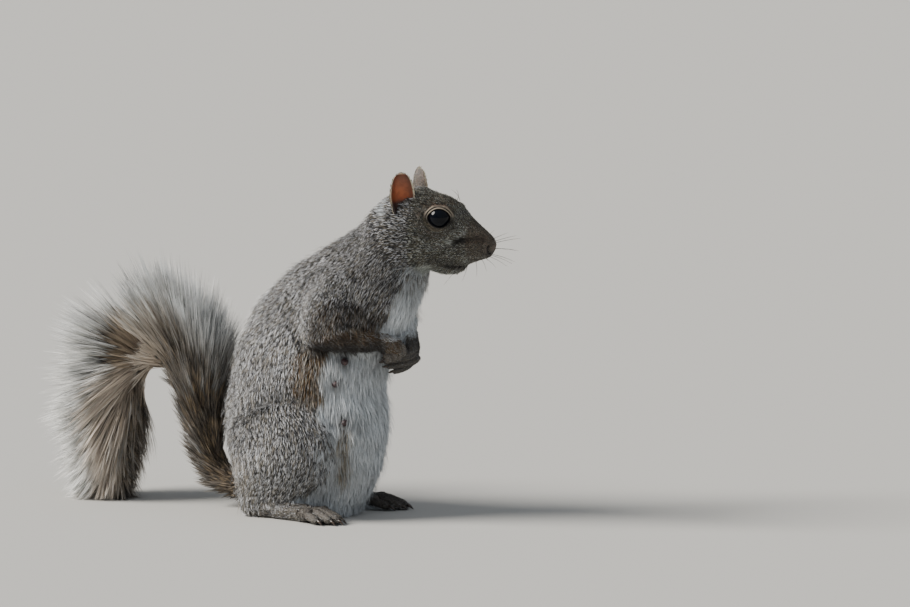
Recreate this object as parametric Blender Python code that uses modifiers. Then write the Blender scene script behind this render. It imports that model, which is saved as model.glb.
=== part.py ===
"""Grey squirrel sitting up on its haunches, life size, as a museum shows it.

Frame: metres, +Z up. The animal looks along +X and its left side is +Y. The origin is
on the floor, below the middle of its bounding box. Lengths below are in millimetres
and MM turns them to metres. The solids are the outer shape of the coat, to the hair
tips. The body is modelled whole, smoothed, and parted along thin cuts. Eyes, ears and
the brush of the tail are shaped on their own and trimmed to what they grow from.
"""

import math

import bmesh
import bpy
import numpy as np
from mathutils import Matrix, Vector

MM = 0.001
GAP = 0.3  # clear space at every cut

# ---- driving sizes -----------------------------------------------------------------
ORIGIN = (-15.0, 0.0, 0.0)  # where the finished frame's origin lies in the modelling frame
HEAD_JOINT = (57.0, 0.0, 154.0)  # where the head turns on the neck
HEAD_TURN = 10.0  # degrees, towards the animal's left
HEAD_LENGTH = 62.0  # head joint to nose tip
EYE = (32.5, 10.8, 15.0)  # centre of the left eyeball, from the head joint
EYE_RADIUS = 6.2
EAR = (12.5, 14.5, 17.0)  # foot of the left ear, from the head joint
EAR_HEIGHT = 23.5
EAR_WIDTH = 13.0
FOOT_LENGTH = 62.0  # heel to toe tips
FOOT_TURN = 12.0  # degrees that the toes point outwards
HEEL = (-12.0, 25.0)  # left heel on the floor
SIDES = (("right", -1), ("left", 1))

# rows of x, z, half depth and half width, from the seat up to the nape
TORSO = (
    (0, 0.5, 27, 25), (1, 11, 37, 32), (3, 28, 45, 36), (4, 45, 47.5, 38), (4.5, 62, 47, 38),
    (6.5, 78, 45, 36.5), (13, 94, 43.5, 34), (23.5, 109, 39, 31), (37, 122.5, 33.8, 28.5),
    (50, 135, 30, 25.5), (60, 147, 25.5, 22.5), (67, 157, 21, 20.5),
)
# rows of distance behind the nose tip, top, bottom, half width and how far the top narrows
HEAD = (
    (0.4, 1.6, -2.4, 3.0, 0.0), (2.0, 4.8, -4.8, 5.0, 0.05), (5.5, 8.9, -7.6, 7.3, 0.1),
    (10, 12.6, -9.4, 9.1, 0.15), (16, 17.8, -11.4, 10.9, 0.18), (23, 23.6, -13, 13.5, 0.18),
    (30, 28.3, -14, 16.4, 0.16), (37, 31.5, -15, 19, 0.12), (45, 31.4, -16, 20.8, 0.1),
    (54, 28.5, -17, 21.5, 0.08), (63, 25, -17, 21, 0.04), (72, 20, -16, 19, 0.0),
)
# rows of x, z, reach of the upper side, reach of the under side and half width
TAIL = (
    (-40, 8, 13, 9, 16), (-52, 21, 18, 13, 25), (-60, 39, 22, 13, 30), (-64, 59, 25, 12, 32),
    (-69, 78, 29, 11, 33), (-78, 93, 34, 11, 33), (-92, 99.5, 36, 10, 33), (-104, 92, 36, 10, 33),
    (-111, 74, 35, 10.5, 33), (-115, 53, 34, 12, 33), (-117, 33, 31, 13, 31),
    (-119, 15, 25, 12, 26), (-120, -2, 18, 10, 19),
)
# boxes of the body, low and high corner, and how freely its faces may be thinned there
PLAINNESS = (
    ((-90, -90, -20), (150, 90, 230), 1.0),  # everywhere, then the finer places
    ((64, -30, 126), (150, 40, 200), 0.45),  # head
    ((62, -20, 76), (90, 20, 110), 0.4),  # forepaws
    ((20, -60, -5), (70, 60, 14), 0.7),  # toes
)
TAIL_CUTS = (0, 3, 5, 7, 9, 12)  # rows where one length of the tail ends and the next begins


# ---- scene, collections and materials ----------------------------------------------
def clear_scene():
    for obj in list(bpy.data.objects):
        bpy.data.objects.remove(obj)


def new_collection(name):
    made = bpy.data.collections.new(name)
    bpy.context.scene.collection.children.link(made)
    return made


def new_material(name, colour, roughness):
    """A Principled BSDF with one linear colour, for fur, skin or the wet face of an eye."""
    made = bpy.data.materials.new(name)
    made.use_nodes = True
    shader = made.node_tree.nodes["Principled BSDF"]
    shader.inputs["Base Color"].default_value = (*colour, 1.0)
    shader.inputs["Roughness"].default_value = roughness
    shader.inputs["Metallic"].default_value = 0.0
    return made


# ---- shape tools -------------------------------------------------------------------
def curve_rows(rows, steps):
    """A Catmull-Rom curve through rows of numbers, with equal steps between two rows."""
    rows = np.array(rows, float)
    padded = np.vstack([2 * rows[0] - rows[1], rows, 2 * rows[-1] - rows[-2]])
    count = len(rows) - 1
    t = np.linspace(0, count, count * steps + 1)
    i = np.minimum(t.astype(int), count - 1)
    f = (t - i)[:, None]
    a, b, c, d = (padded[i + k] for k in range(4))
    bend = (2 * a - 5 * b + 4 * c - d) * f**2 + (3 * b - a - 3 * c + d) * f**3
    return 0.5 * (2 * b + (c - a) * f + bend)


def directions(points):
    run = np.gradient(points, axis=0)
    return run / np.linalg.norm(run, axis=1)[:, None]


def ring_mesh(name, rings):
    """A closed mesh through rings of equal point count, with a fan of faces over each end."""
    count, around = rings.shape[:2]
    bm = bmesh.new()
    verts = [[bm.verts.new(Vector(p) * MM) for p in ring] for ring in rings]
    for low, high in zip(verts, verts[1:]):
        for j in range(around):
            k = (j + 1) % around
            bm.faces.new((low[j], low[k], high[k], high[j]))
    for ring in (verts[0], verts[-1]):
        middle = bm.verts.new(sum((v.co for v in ring), Vector()) / around)
        for j in range(around):
            bm.faces.new((ring[j], ring[(j + 1) % around], middle))
    bmesh.ops.recalc_face_normals(bm, faces=bm.faces)
    mesh = bpy.data.meshes.new(name)
    bm.to_mesh(mesh)
    bm.free()
    return mesh


def torso_mesh():
    """Ellipses square to a path in the middle plane."""
    rows = curve_rows(TORSO, 4)
    run = directions(rows[:, :2])
    angle = np.linspace(0, 2 * np.pi, 40, endpoint=False)
    depth = rows[:, 2:3] * np.sin(angle)
    y = rows[:, 3:4] * np.cos(angle)
    x = rows[:, 0:1] + depth * run[:, 1:2]
    z = rows[:, 1:2] - depth * run[:, 0:1]
    return ring_mesh("torso", np.stack([x, y, z], axis=2))


def head_mesh():
    """Egg-shaped sections across the head, narrower at the top, turned at the head joint."""
    rows = curve_rows(HEAD, 4)
    behind, top, bottom, width, narrow = (rows[:, k:k + 1] for k in range(5))
    angle = np.linspace(0, 2 * np.pi, 36, endpoint=False)
    rise = np.sin(angle)
    y = width * np.cos(angle) * (1 - narrow * rise)
    z = (top + bottom) / 2 + (top - bottom) / 2 * rise
    x = HEAD_LENGTH - behind + 0 * y
    return ring_mesh("head", np.stack([x, y, z], axis=2))


def ball(name, centre, radii, fineness=4):
    """An ellipsoid from a unit sphere."""
    bm = bmesh.new()
    bmesh.ops.create_icosphere(bm, subdivisions=fineness, radius=1.0)
    sizes = Matrix.Diagonal(Vector((radii[0] * MM, radii[1] * MM, radii[2] * MM, 1.0)))
    bmesh.ops.transform(bm, matrix=Matrix.Translation(Vector(centre) * MM) @ sizes, verts=bm.verts)
    mesh = bpy.data.meshes.new(name)
    bm.to_mesh(mesh)
    bm.free()
    return mesh


def limb(name, points, around=16, steps=4):
    """A round tube along rows of x, y, z and radius, with both ends rounded off."""
    rows = curve_rows(points, steps)
    run = directions(rows[:, :3])
    caps = []
    for row, way in ((rows[0], -run[0]), (rows[-1], run[-1])):
        bulge = [(row[3] * math.sin(a), row[3] * math.cos(a)) for a in (0.5, 0.95, 1.35)]
        caps.append([np.append(row[:3] + way * reach, radius) for reach, radius in bulge])
    rows = np.vstack([caps[0][::-1], rows, caps[1]])
    run = np.vstack([run[:1]] * 3 + [run] + [run[-1:]] * 3)
    side = np.cross(run, (0.31, 0.17, 0.93))
    side /= np.linalg.norm(side, axis=1)[:, None]
    up = np.cross(run, side)
    angle = np.linspace(0, 2 * np.pi, around, endpoint=False)[None, :, None]
    spokes = np.cos(angle) * side[:, None] + np.sin(angle) * up[:, None]
    return ring_mesh(name, rows[:, None, :3] + rows[:, None, 3:] * spokes)


def block(name, low, high):
    """A box between two corners."""
    bm = bmesh.new()
    bmesh.ops.create_cube(bm, size=1.0)
    low, high = Vector(low) * MM, Vector(high) * MM
    sizes = Matrix.Diagonal(Vector((*(high - low), 1.0)))
    bmesh.ops.transform(bm, matrix=Matrix.Translation((low + high) / 2) @ sizes, verts=bm.verts)
    mesh = bpy.data.meshes.new(name)
    bm.to_mesh(mesh)
    bm.free()
    return mesh


def slab(name, point, toward, reach):
    """A large square block in front of a plane: from the point it reaches the given way."""
    turned = Vector(toward).to_track_quat("Z", "Y").to_matrix().to_4x4()
    mesh = block(name, (-reach / 2, -reach / 2, 0), (reach / 2, reach / 2, reach))
    mesh.transform(Matrix.Translation(Vector(point) * MM) @ turned)
    return mesh


def mirrored(points, side):
    return [(x, y * side, z, r) for x, y, z, r in points]


# ---- objects and modifiers ---------------------------------------------------------
def place(mesh, collection, matrix=None):
    obj = bpy.data.objects.new(mesh.name, mesh)
    if matrix is not None:
        mesh.transform(matrix)
    collection.objects.link(obj)
    return obj


def settle(obj):
    """Apply an object's modifiers to its mesh."""
    depsgraph = bpy.context.evaluated_depsgraph_get()
    depsgraph.update()
    fresh = bpy.data.meshes.new_from_object(obj.evaluated_get(depsgraph))
    obj.modifiers.clear()
    obj.data = fresh
    return obj


def boolean(obj, operation, cutter):
    """Cut an object by another one, or by all the objects of a collection at once."""
    cut = obj.modifiers.new(operation.lower(), "BOOLEAN")
    cut.operation = operation
    cut.solver = "EXACT"
    if isinstance(cutter, bpy.types.Collection):
        cut.operand_type = "COLLECTION"
        cut.collection = cutter
    else:
        cut.object = cutter
    return settle(obj)


def copy_of(obj, name, collection):
    made = bpy.data.objects.new(name, obj.data.copy())
    made.data.name = name
    collection.objects.link(made)
    return made


def grown(obj, name, amount, collection):
    """A copy of an object whose surface stands further out by the amount."""
    made = copy_of(obj, name, collection)
    push = made.modifiers.new("push", "DISPLACE")
    push.mid_level = 0.0
    push.strength = amount * MM
    return settle(made)


def keep_largest(obj):
    """Drop crumbs that a cut leaves, keeping the body with the most faces."""
    bm = bmesh.new()
    bm.from_mesh(obj.data)
    bmesh.ops.remove_doubles(bm, verts=bm.verts, dist=1e-7)
    left = set(bm.faces)
    bodies = []
    while left:
        body = {left.pop()}
        front = list(body)
        while front:
            near = {f for e in front.pop().edges for f in e.link_faces} & left
            left -= near
            body |= near
            front.extend(near)
        bodies.append(body)
    bodies.sort(key=len)
    crumbs = [face for body in bodies[:-1] for face in body]
    bmesh.ops.delete(bm, geom=crumbs, context="FACES")
    bmesh.ops.delete(bm, geom=[v for v in bm.verts if not v.link_faces], context="VERTS")
    bmesh.ops.triangulate(bm, faces=bm.faces)
    bm.to_mesh(obj.data)
    bm.free()
    return obj


# ---- the whole body ----------------------------------------------------------------
def head_frame():
    turn = Matrix.Rotation(math.radians(HEAD_TURN), 4, "Z")
    return Matrix.Translation(Vector(HEAD_JOINT) * MM) @ turn


def head_masses():
    """Skull and muzzle, lower jaw, brows and cheeks, in the head's own frame."""
    masses = [head_mesh(), ball("nape", (1, 0, 3), (19, 17.5, 16.5))]
    masses.append(ball("jaw", (HEAD_LENGTH - 27, 0, -12.2), (10.5, 5.2, 6.2)))
    for _, side in SIDES:
        masses.append(ball("brow", (29, 7.5 * side, 17.5), (9, 6.2, 5)))
        masses.append(ball("cheek", (18, 10 * side, -2), (15, 10.5, 12)))
        masses.append(ball("whisker_pad", (HEAD_LENGTH - 9.5, 4.2 * side, -3.6), (6.5, 4, 4.6)))
    return masses


def arm_points(side):
    """Shoulder to elbow, and elbow to wrist; the right arm lies a little higher than the left."""
    upper = [(36, 17, 127, 15), (33, 26, 115, 13.5), (30, 32.5, 104.5, 9.5)]
    if side < 0:
        lower = [(30, 33, 103.5, 9), (46, 26.5, 101, 8.5), (60, 15, 99, 5.6)]
    else:
        lower = [(30, 33, 103.5, 9), (47, 27, 105, 8.5), (65, 12.5, 104, 5.8)]
    return mirrored(upper, side), mirrored(lower, side)


def hand_masses(side):
    """A palm and four short digits: the right hand rests on the left one, whose digits hang."""
    if side < 0:
        palm = [(60, 14.5, 99, 5.4), (66.5, 8.5, 97.2, 6.0)]
        roots = [(70.5, 4.5 + 1.6 * k, 100 - 1.7 * k) for k in range(4)]
        reach = ((1.8, -1.8, -2.0), (2.0, -3.4, -4.2))
    else:
        palm = [(65, 11.5, 103, 5.4), (69.5, 7.5, 94.5, 6.0)]
        roots = [(70.5 - 0.6 * k, 3.4 + 2.5 * k, 89.5 + 1.8 * k) for k in range(4)]
        reach = ((-6.5, -0.6, -6.0), (-12.5, -1.0, -7.8))
    masses = [limb("palm", mirrored(palm, side))]
    for x, y, z in roots:
        points = [(x, y, z, 2.3)]
        points += [(x + a, max(y + b, 2.2), z + c, r) for (a, b, c), r in zip(reach, (2.0, 1.7))]
        masses.append(limb("digit", mirrored(points, side), 12))
    return masses


def foot_masses(side):
    """Heel, sole and five toes along the floor, in the body's frame."""
    turn = math.radians(FOOT_TURN)

    def spot(along, across, z, radius):
        x = HEEL[0] + along * math.cos(turn) - across * math.sin(turn)
        y = HEEL[1] + along * math.sin(turn) + across * math.cos(turn)
        return (x, y, z, radius)

    sole = [spot(4, 0, 6, 7), spot(20, 0, 5.5, 6.5), spot(36, 0, 4.5, 6)]
    masses = [limb("sole", mirrored(sole, side))]
    for k in range(5):
        across = (k - 2) * 2.9
        tip = FOOT_LENGTH - 2 - 1.9 * (k - 2) ** 2
        toe = [spot(34, across * 0.8, 4.2, 3.4), spot(tip - 9, across * 1.2, 4.4, 2.7)]
        toe.append(spot(tip, across * 1.45, 2.0, 2.1))
        masses.append(limb("toe", mirrored(toe, side), 12))
    return masses


def whole_body(scratch):
    """All the masses of the body joined, smoothed into one skin and cut level with the floor."""
    meshes = [torso_mesh()]
    for mesh in head_masses():
        mesh.transform(head_frame())
        meshes.append(mesh)
    for _, side in SIDES:
        upper, lower = arm_points(side)
        meshes += [limb("upper_arm", upper), limb("forearm", lower)]
        meshes += hand_masses(side) + foot_masses(side)
        meshes.append(ball("haunch", (4, 30.5 * side, 40), (33, 16, 29.5)))
        meshes.append(ball("hock", (-10, 26 * side, 13), (16, 11, 14)))
        meshes.append(ball("shoulder", (40, 17 * side, 127), (19, 14, 19)))
    bm = bmesh.new()
    for mesh in meshes:
        bm.from_mesh(mesh)
    joined = bpy.data.meshes.new("whole_body")
    bm.to_mesh(joined)
    bm.free()
    body = place(joined, scratch)
    skin = body.modifiers.new("one_skin", "REMESH")
    skin.mode = "VOXEL"
    skin.voxel_size = 0.9 * MM
    even = body.modifiers.new("even", "SMOOTH")
    even.factor = 0.5
    even.iterations = 5
    settle(body)
    plain = body.vertex_groups.new(name="plain")
    spots = np.array([v.co for v in body.data.vertices]) / MM
    for low, high, share in PLAINNESS:
        within = (spots > low).all(axis=1) & (spots < high).all(axis=1)
        plain.add(np.flatnonzero(within).tolist(), share, "REPLACE")
    thin = body.modifiers.new("thin", "DECIMATE")
    thin.ratio = 0.0138
    thin.vertex_group = "plain"
    thin.vertex_group_factor = 1.0
    settle(body)
    floor = place(block("floor", (-200, -200, -60), (200, 200, 0)), scratch)
    return keep_largest(boolean(body, "DIFFERENCE", floor))


# ---- parting -----------------------------------------------------------------------
def fatter(points, extra):
    return [(x, y, z, r + extra) for x, y, z, r in points]


def cutters():
    """For each named piece a function that makes its cutter, grown by the amount it is given."""
    made = []
    for word, side in SIDES:
        upper, lower = arm_points(side)
        hand = (69, 10 * side, 93) if side < 0 else (66.5, 8.5 * side, 93)
        foot = mirrored([(HEEL[0] - 8, HEEL[1] - 2, 0, 12.5), (16, 31, 0, 11.5), (56, 40, 0, 14)], side)
        arm = [(34, 22 * side, 131, 17), (33, 30 * side, 117, 17), (29, 38 * side, 103, 14)]
        made += [
            (f"forepaw_{word}", lambda g, c=hand: ball("cut", c, (15.5 + g, 9.8 + g, 15 + g), 2)),
            (f"forearm_{word}", lambda g, p=lower: limb("cut", fatter(p, 2.2 + g), 8, 2)),
            (f"upper_arm_{word}", lambda g, p=arm: limb("cut", fatter(p, g), 8, 2)),
            (f"hind_foot_{word}", lambda g, p=foot: limb("cut", fatter(p, g), 8, 2)),
            (f"haunch_{word}", lambda g, s=side: ball("cut", (4, 37 * s, 39), (36 + g, 20 + g, 34 + g), 2)),
        ]
    made.append(("head", lambda g: slab("cut", (66 - 0.83 * g, 0, 155 - 0.56 * g), (0.83, 0, 0.56), 160)))
    made.append(("neck", lambda g: slab("cut", (50 - 0.44 * g, 0, 140 - 0.9 * g), (0.44, 0, 0.9), 200)))
    return made


def part_body(body, collection, scratch):
    """Each piece is the body inside its cutter, less the rooms of the pieces before it."""
    rooms = new_collection("rooms")
    for name, cutter in cutters():
        piece = boolean(copy_of(body, name, collection), "INTERSECT", place(cutter(0.0), scratch))
        if rooms.objects:
            boolean(piece, "DIFFERENCE", rooms)
        keep_largest(piece)
        place(cutter(GAP), rooms)
    keep_largest(boolean(copy_of(body, "trunk", collection), "DIFFERENCE", rooms))
    for room in list(rooms.objects):
        bpy.data.objects.remove(room)
    bpy.data.collections.remove(rooms)


# ---- eyes, ears and tail -----------------------------------------------------------
def eye_mesh(name, side, radius):
    bm = bmesh.new()
    bmesh.ops.create_uvsphere(bm, u_segments=14, v_segments=9, radius=radius * MM)
    centre = Vector((EYE[0], EYE[1] * side, EYE[2])) * MM
    bmesh.ops.transform(bm, matrix=head_frame() @ Matrix.Translation(centre), verts=bm.verts)
    mesh = bpy.data.meshes.new(name)
    bm.to_mesh(mesh)
    bm.free()
    return mesh


def ear_mesh(name, side):
    """A cupped petal: crescent sections up the ear, full at the foot and closed at the tip."""
    up = np.array([0, 0.17, 0.36, 0.55, 0.72, 0.86, 0.95, 1.0])[:, None]
    half = EAR_WIDTH / 2 * np.sqrt(np.clip(1 - up**3.2, 0.012, 1)) * (0.86 + 0.3 * up - 0.16 * up**2)
    cup = 3.4 * np.sin(np.pi * np.clip(up * 0.98 + 0.02, 0, 1)) ** 0.6
    thick = 2.6 - 1.5 * up
    across = np.linspace(-1, 1, 9)
    back = -cup * (1 - across**2) - thick / 2 * np.sqrt(np.clip(1 - across**2, 0, 1))
    front = -cup * (1 - across**2) + thick / 2 * np.sqrt(np.clip(1 - across**2, 0, 1))
    rim = across + 0 * up
    x = np.hstack([rim, rim[:, -2:0:-1]]) * half
    y = np.hstack([back, front[:, -2:0:-1]])
    z = EAR_HEIGHT * up + 0 * x
    lean_back = -1.6 * up**2 + 0 * x
    mesh = ring_mesh(name, np.stack([x, y + lean_back, z], axis=2))
    facing = Matrix.Rotation(math.radians(-90 + side * (90 - 38)), 4, "Z")
    outward = Matrix.Rotation(math.radians(-4 * side), 4, "X")
    foot = Matrix.Translation(Vector((EAR[0], EAR[1] * side, EAR[2])) * MM)
    mesh.transform(head_frame() @ foot @ outward @ facing)
    return mesh


def tail_meshes():
    """Lengths of the brush: ovals square to the tail, long above, short below, with a gap between."""
    steps = 2
    rows = curve_rows(TAIL, steps)
    run = directions(rows[:, :2])
    angle = np.linspace(0, 2 * np.pi, 18, endpoint=False)
    lift = np.sin(angle)
    reach = np.where(lift > 0, rows[:, 2:3], rows[:, 3:4]) * lift
    y = rows[:, 4:5] * np.cos(angle)
    rings = np.stack([rows[:, 0:1] + reach * run[:, 1:2], y, rows[:, 1:2] - reach * run[:, 0:1]], axis=2)
    along = np.stack([run[:, 0], 0 * run[:, 0], run[:, 1]], axis=1)[:, None]
    for number, (start, end) in enumerate(zip(TAIL_CUTS, TAIL_CUTS[1:]), 1):
        part = rings[start * steps:end * steps + 1].copy()
        if start:
            part[0] += along[start * steps] * GAP
        yield ring_mesh(f"tail_{number}", part)


def build():
    clear_scene()
    animal = new_collection("grey_squirrel")
    scratch = new_collection("cutters")
    fur = new_material("grey_fur", (0.19, 0.18, 0.165), 0.9)
    pale = new_material("white_fur", (0.62, 0.62, 0.6), 0.9)
    brush = new_material("tail_fur", (0.24, 0.22, 0.19), 0.9)
    paw = new_material("paw_fur", (0.12, 0.1, 0.075), 0.85)
    ear_skin = new_material("ear_skin", (0.3, 0.16, 0.1), 0.7)
    wet = new_material("eye", (0.006, 0.005, 0.005), 0.08)

    body = whole_body(scratch)
    room = grown(body, "body_room", GAP + 0.1, scratch)
    for word, side in SIDES:
        place(ear_mesh(f"ear_{word}", side), animal)
        keep_largest(boolean(animal.objects[f"ear_{word}"], "DIFFERENCE", room))
    for mesh in tail_meshes():
        keep_largest(boolean(place(mesh, animal), "DIFFERENCE", room))
    floor = scratch.objects["floor"]
    keep_largest(boolean(animal.objects[f"tail_{len(TAIL_CUTS) - 1}"], "DIFFERENCE", floor))
    for word, side in SIDES:
        socket = place(eye_mesh("socket", side, EYE_RADIUS + GAP), scratch)
        boolean(body, "DIFFERENCE", socket)
        place(eye_mesh(f"eye_{word}", side, EYE_RADIUS), animal)
    part_body(body, animal, scratch)

    for obj in list(scratch.objects):
        bpy.data.objects.remove(obj)
    bpy.data.collections.remove(scratch)
    looks = {"eye": wet, "ear": ear_skin, "tail": brush, "forepaw": paw, "hind_foot": paw, "trunk": pale}
    for obj in animal.objects:
        look = next((m for start, m in looks.items() if obj.name.startswith(start)), fur)
        obj.data.materials.clear()
        obj.data.materials.append(look)
        obj.data.transform(Matrix.Translation(Vector(ORIGIN) * -MM))
        obj.data.shade_smooth()
        obj.data.set_sharp_from_angle(angle=math.radians(40))


build()
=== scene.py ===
import math

import bmesh
import bpy
import numpy as np
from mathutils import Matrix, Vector
from mathutils.bvhtree import BVHTree


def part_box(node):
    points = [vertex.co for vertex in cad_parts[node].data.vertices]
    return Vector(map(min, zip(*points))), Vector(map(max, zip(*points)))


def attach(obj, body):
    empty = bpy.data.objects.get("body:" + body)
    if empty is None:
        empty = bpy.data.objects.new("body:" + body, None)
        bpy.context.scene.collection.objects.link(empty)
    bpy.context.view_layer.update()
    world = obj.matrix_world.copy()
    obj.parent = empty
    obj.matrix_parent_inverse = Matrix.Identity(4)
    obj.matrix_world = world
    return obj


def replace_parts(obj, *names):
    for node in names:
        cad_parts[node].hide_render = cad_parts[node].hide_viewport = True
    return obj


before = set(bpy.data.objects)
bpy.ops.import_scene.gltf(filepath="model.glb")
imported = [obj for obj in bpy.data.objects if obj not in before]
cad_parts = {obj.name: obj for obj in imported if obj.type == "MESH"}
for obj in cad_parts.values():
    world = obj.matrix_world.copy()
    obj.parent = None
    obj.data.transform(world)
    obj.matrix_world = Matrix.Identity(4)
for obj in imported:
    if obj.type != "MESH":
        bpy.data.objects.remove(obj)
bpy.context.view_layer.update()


# ---- the room ------------------------------------------------------------------------------
# A plain pale studio floor, a broad lamp above and behind the animal, a faint one in front and
# a long lens ten metres away. The camera looks down a little, from the animal's right side.
MM = 0.001
CAMERA_ANGLE, CAMERA_HEIGHT_ANGLE, CAMERA_DISTANCE = 30.0, 7.0, 10.0  # degrees and metres
VIEW_WIDTH = 0.5005  # metres that fill the picture's width at the animal's distance
VIEW_CENTRE = (81.6, 54.6, 113.8)  # mm, the point in the middle of the picture
SENSOR = 36.0
FLOOR_REACH = 80  # metres
SKY_STRENGTH = 0.32  # of the even pale light from all round


def from_hex(code):
    """An sRGB colour code as linear red, green, blue and a full alpha."""
    parts = np.array([int(code[k:k + 2], 16) for k in (1, 3, 5)]) / 255
    linear = np.where(parts <= 0.04045, parts / 12.92, ((parts + 0.055) / 1.055) ** 2.4)
    return (*(float(v) for v in linear), 1.0)


def add(tree, kind, inputs=None, stops=(), **settings):
    """Adds a shader node with its settings, links or fills its inputs, by name or number, and
    gives a colour ramp its stops: places from 0 to 1 with their colours."""
    made = tree.nodes.new("ShaderNode" + kind)
    for key, value in settings.items():
        setattr(made, key, value)
    for key, value in (inputs or {}).items():
        if isinstance(value, bpy.types.NodeSocket):
            tree.links.new(value, made.inputs[key])
        else:
            made.inputs[key].default_value = value
    for k, (spot, code) in enumerate(stops):
        elements = made.color_ramp.elements
        element = elements[k] if k < len(elements) else elements.new(1.0)
        element.position, element.color = spot, from_hex(code)
    return made


def new_material(name, **sockets):
    """A material whose Principled BSDF has the given values, named with _ for a space."""
    made = bpy.data.materials.new(name)
    made.use_nodes = True
    shader = made.node_tree.nodes["Principled BSDF"]
    for key, value in sockets.items():
        shader.inputs[key.replace("_", " ")].default_value = value
    return made, made.node_tree, shader


def link(data, name):
    """Puts a mesh, lamp or camera into the scene."""
    made = bpy.data.objects.new(name, data)
    bpy.context.scene.collection.objects.link(made)
    return made


def lamp(name, place, softness, power, colour, glint=1.0):
    """A far lamp that shines from its place, as wide in the sky as its softness in degrees.
    Glint is how much of it is seen in shiny things."""
    light = bpy.data.lights.new(name, "SUN")
    light.angle = math.radians(softness)
    light.energy = power
    light.color = from_hex(colour)[:3]
    light.specular_factor = glint
    made = link(light, name)
    made.location = place
    made.rotation_euler = (-Vector(place)).to_track_quat("-Z", "Y").to_euler()


turn, tilt = math.radians(CAMERA_ANGLE), math.radians(CAMERA_HEIGHT_ANGLE)
to_camera = Vector((math.sin(turn) * math.cos(tilt), -math.cos(turn) * math.cos(tilt), math.sin(tilt)))
to_right = Vector((math.cos(turn), math.sin(turn), 0))
above = Vector((0, 0, 1))
camera_data = bpy.data.cameras.new("camera")
camera_data.sensor_width = SENSOR
camera_data.lens = SENSOR * CAMERA_DISTANCE / VIEW_WIDTH
camera_data.clip_end = 200.0
camera = link(camera_data, "camera")
camera.location = Vector(VIEW_CENTRE) * MM + to_camera * CAMERA_DISTANCE
camera.rotation_euler = (-to_camera).to_track_quat("-Z", "Y").to_euler()
bpy.context.scene.camera = camera

floor_mesh = bpy.data.meshes.new("studio_floor")
corners = [(-FLOOR_REACH, -FLOOR_REACH, 0), (FLOOR_REACH, -FLOOR_REACH, 0),
           (FLOOR_REACH, FLOOR_REACH, 0), (-FLOOR_REACH, FLOOR_REACH, 0)]
floor_mesh.from_pydata(corners, [], [(0, 1, 2, 3)])
floor = link(floor_mesh, "studio_floor")
# matt studio paint: an even pale grey that shows nothing but the animal's soft shadow
floor_paint, tree, shader = new_material("matt_floor_paint", Roughness=0.9)
shader.inputs["Base Color"].default_value = from_hex("#bcbbb7")
floor_mesh.materials.append(floor_paint)

world = bpy.data.worlds.new("studio")
world.use_nodes = True
world.node_tree.nodes["Background"].inputs["Color"].default_value = from_hex("#e8edf2")
world.node_tree.nodes["Background"].inputs["Strength"].default_value = SKY_STRENGTH
bpy.context.scene.world = world
lamp("key", -to_right * 0.88 + to_camera * 0.12 + above * 0.66, 30, 6.6, "#fffaf3")
lamp("fill", to_right * 0.9 + to_camera * 1.2 + above * 1.6, 100, 0.4, "#e9f1ff", 0.15)


# ---- the hide ------------------------------------------------------------------------------
# One skin over head, neck, trunk, limbs and paws. It lies below the outline of the coat by
# the length that the hair stands up, thick on the back and thin on the face and toes. The
# head is worked finer, for lids, nostrils and lips.
SIDES = {"right": -1, "left": 1}
LIMBS = ("upper_arm", "forearm", "forepaw", "haunch", "hind_foot")
FLESH = ["head", "neck", "trunk"] + [f"{limb}_{side}" for limb in LIMBS for side in SIDES]
TAIL_NODES = [f"tail_{k}" for k in range(1, 6)]
CLOSING, FORM_GRAIN = 0.22, 0.9  # mm that the solids grow to close their cuts, and the form's grain
HIDE_GRAIN = 1.45  # mm between points of the hide before the head is worked finer
UP = np.array([0.0, 0.0, 1.0])


def unit(vectors):
    """Vectors scaled to a length of 1."""
    length = np.linalg.norm(vectors, axis=-1, keepdims=True)
    return vectors / np.maximum(length, 1e-9)


def smoothstep(low, high, value):
    """0 below low, 1 above high, and an even S between them."""
    t = np.clip((value - low) / (high - low), 0, 1)
    return t * t * (3 - 2 * t)


def between(low, high, soft, value):
    """1 between low and high, fading to 0 over the soft distance outside them."""
    return smoothstep(low - soft, low, value) * (1 - smoothstep(high, high + soft, value))


def bell(value, width):
    """e to the power of minus the square of value over width: 1 at 0, and 0.37 at the width."""
    return np.exp(-((value / width) ** 2))


def mirrored(points):
    """Points with those of the right side carried over to the left."""
    return points * (1, 0, 1) + np.abs(points) * (0, 1, 0)


def node_middle(name):
    """The middle of a CAD node's box, in mm."""
    low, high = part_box(name)
    return np.array((low + high) / 2) / MM


def read(mesh):
    """A mesh's points, in mm, and their normals."""
    points, normals = np.empty((2, len(mesh.vertices) * 3), np.float32)
    mesh.vertices.foreach_get("co", points)
    mesh.vertex_normals.foreach_get("vector", normals)
    return points.reshape(-1, 3).astype(float) / MM, normals.reshape(-1, 3).astype(float)


def write(mesh, points):
    """Moves a mesh's points to places given in mm."""
    mesh.vertices.foreach_set("co", (points * MM).astype(np.float32).ravel())
    mesh.update()


def modify(obj, kind, **settings):
    """Adds a modifier of a kind, with its settings."""
    made = obj.modifiers.new(kind.lower(), kind)
    for key, value in settings.items():
        setattr(made, key, value)


def settle(obj):
    """Applies an object's modifiers to its mesh."""
    graph = bpy.context.evaluated_depsgraph_get()
    graph.update()
    fresh = bpy.data.meshes.new_from_object(obj.evaluated_get(graph))
    obj.modifiers.clear()
    old, obj.data = obj.data, fresh
    bpy.data.meshes.remove(old)
    fresh.name = obj.name
    return obj


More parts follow.
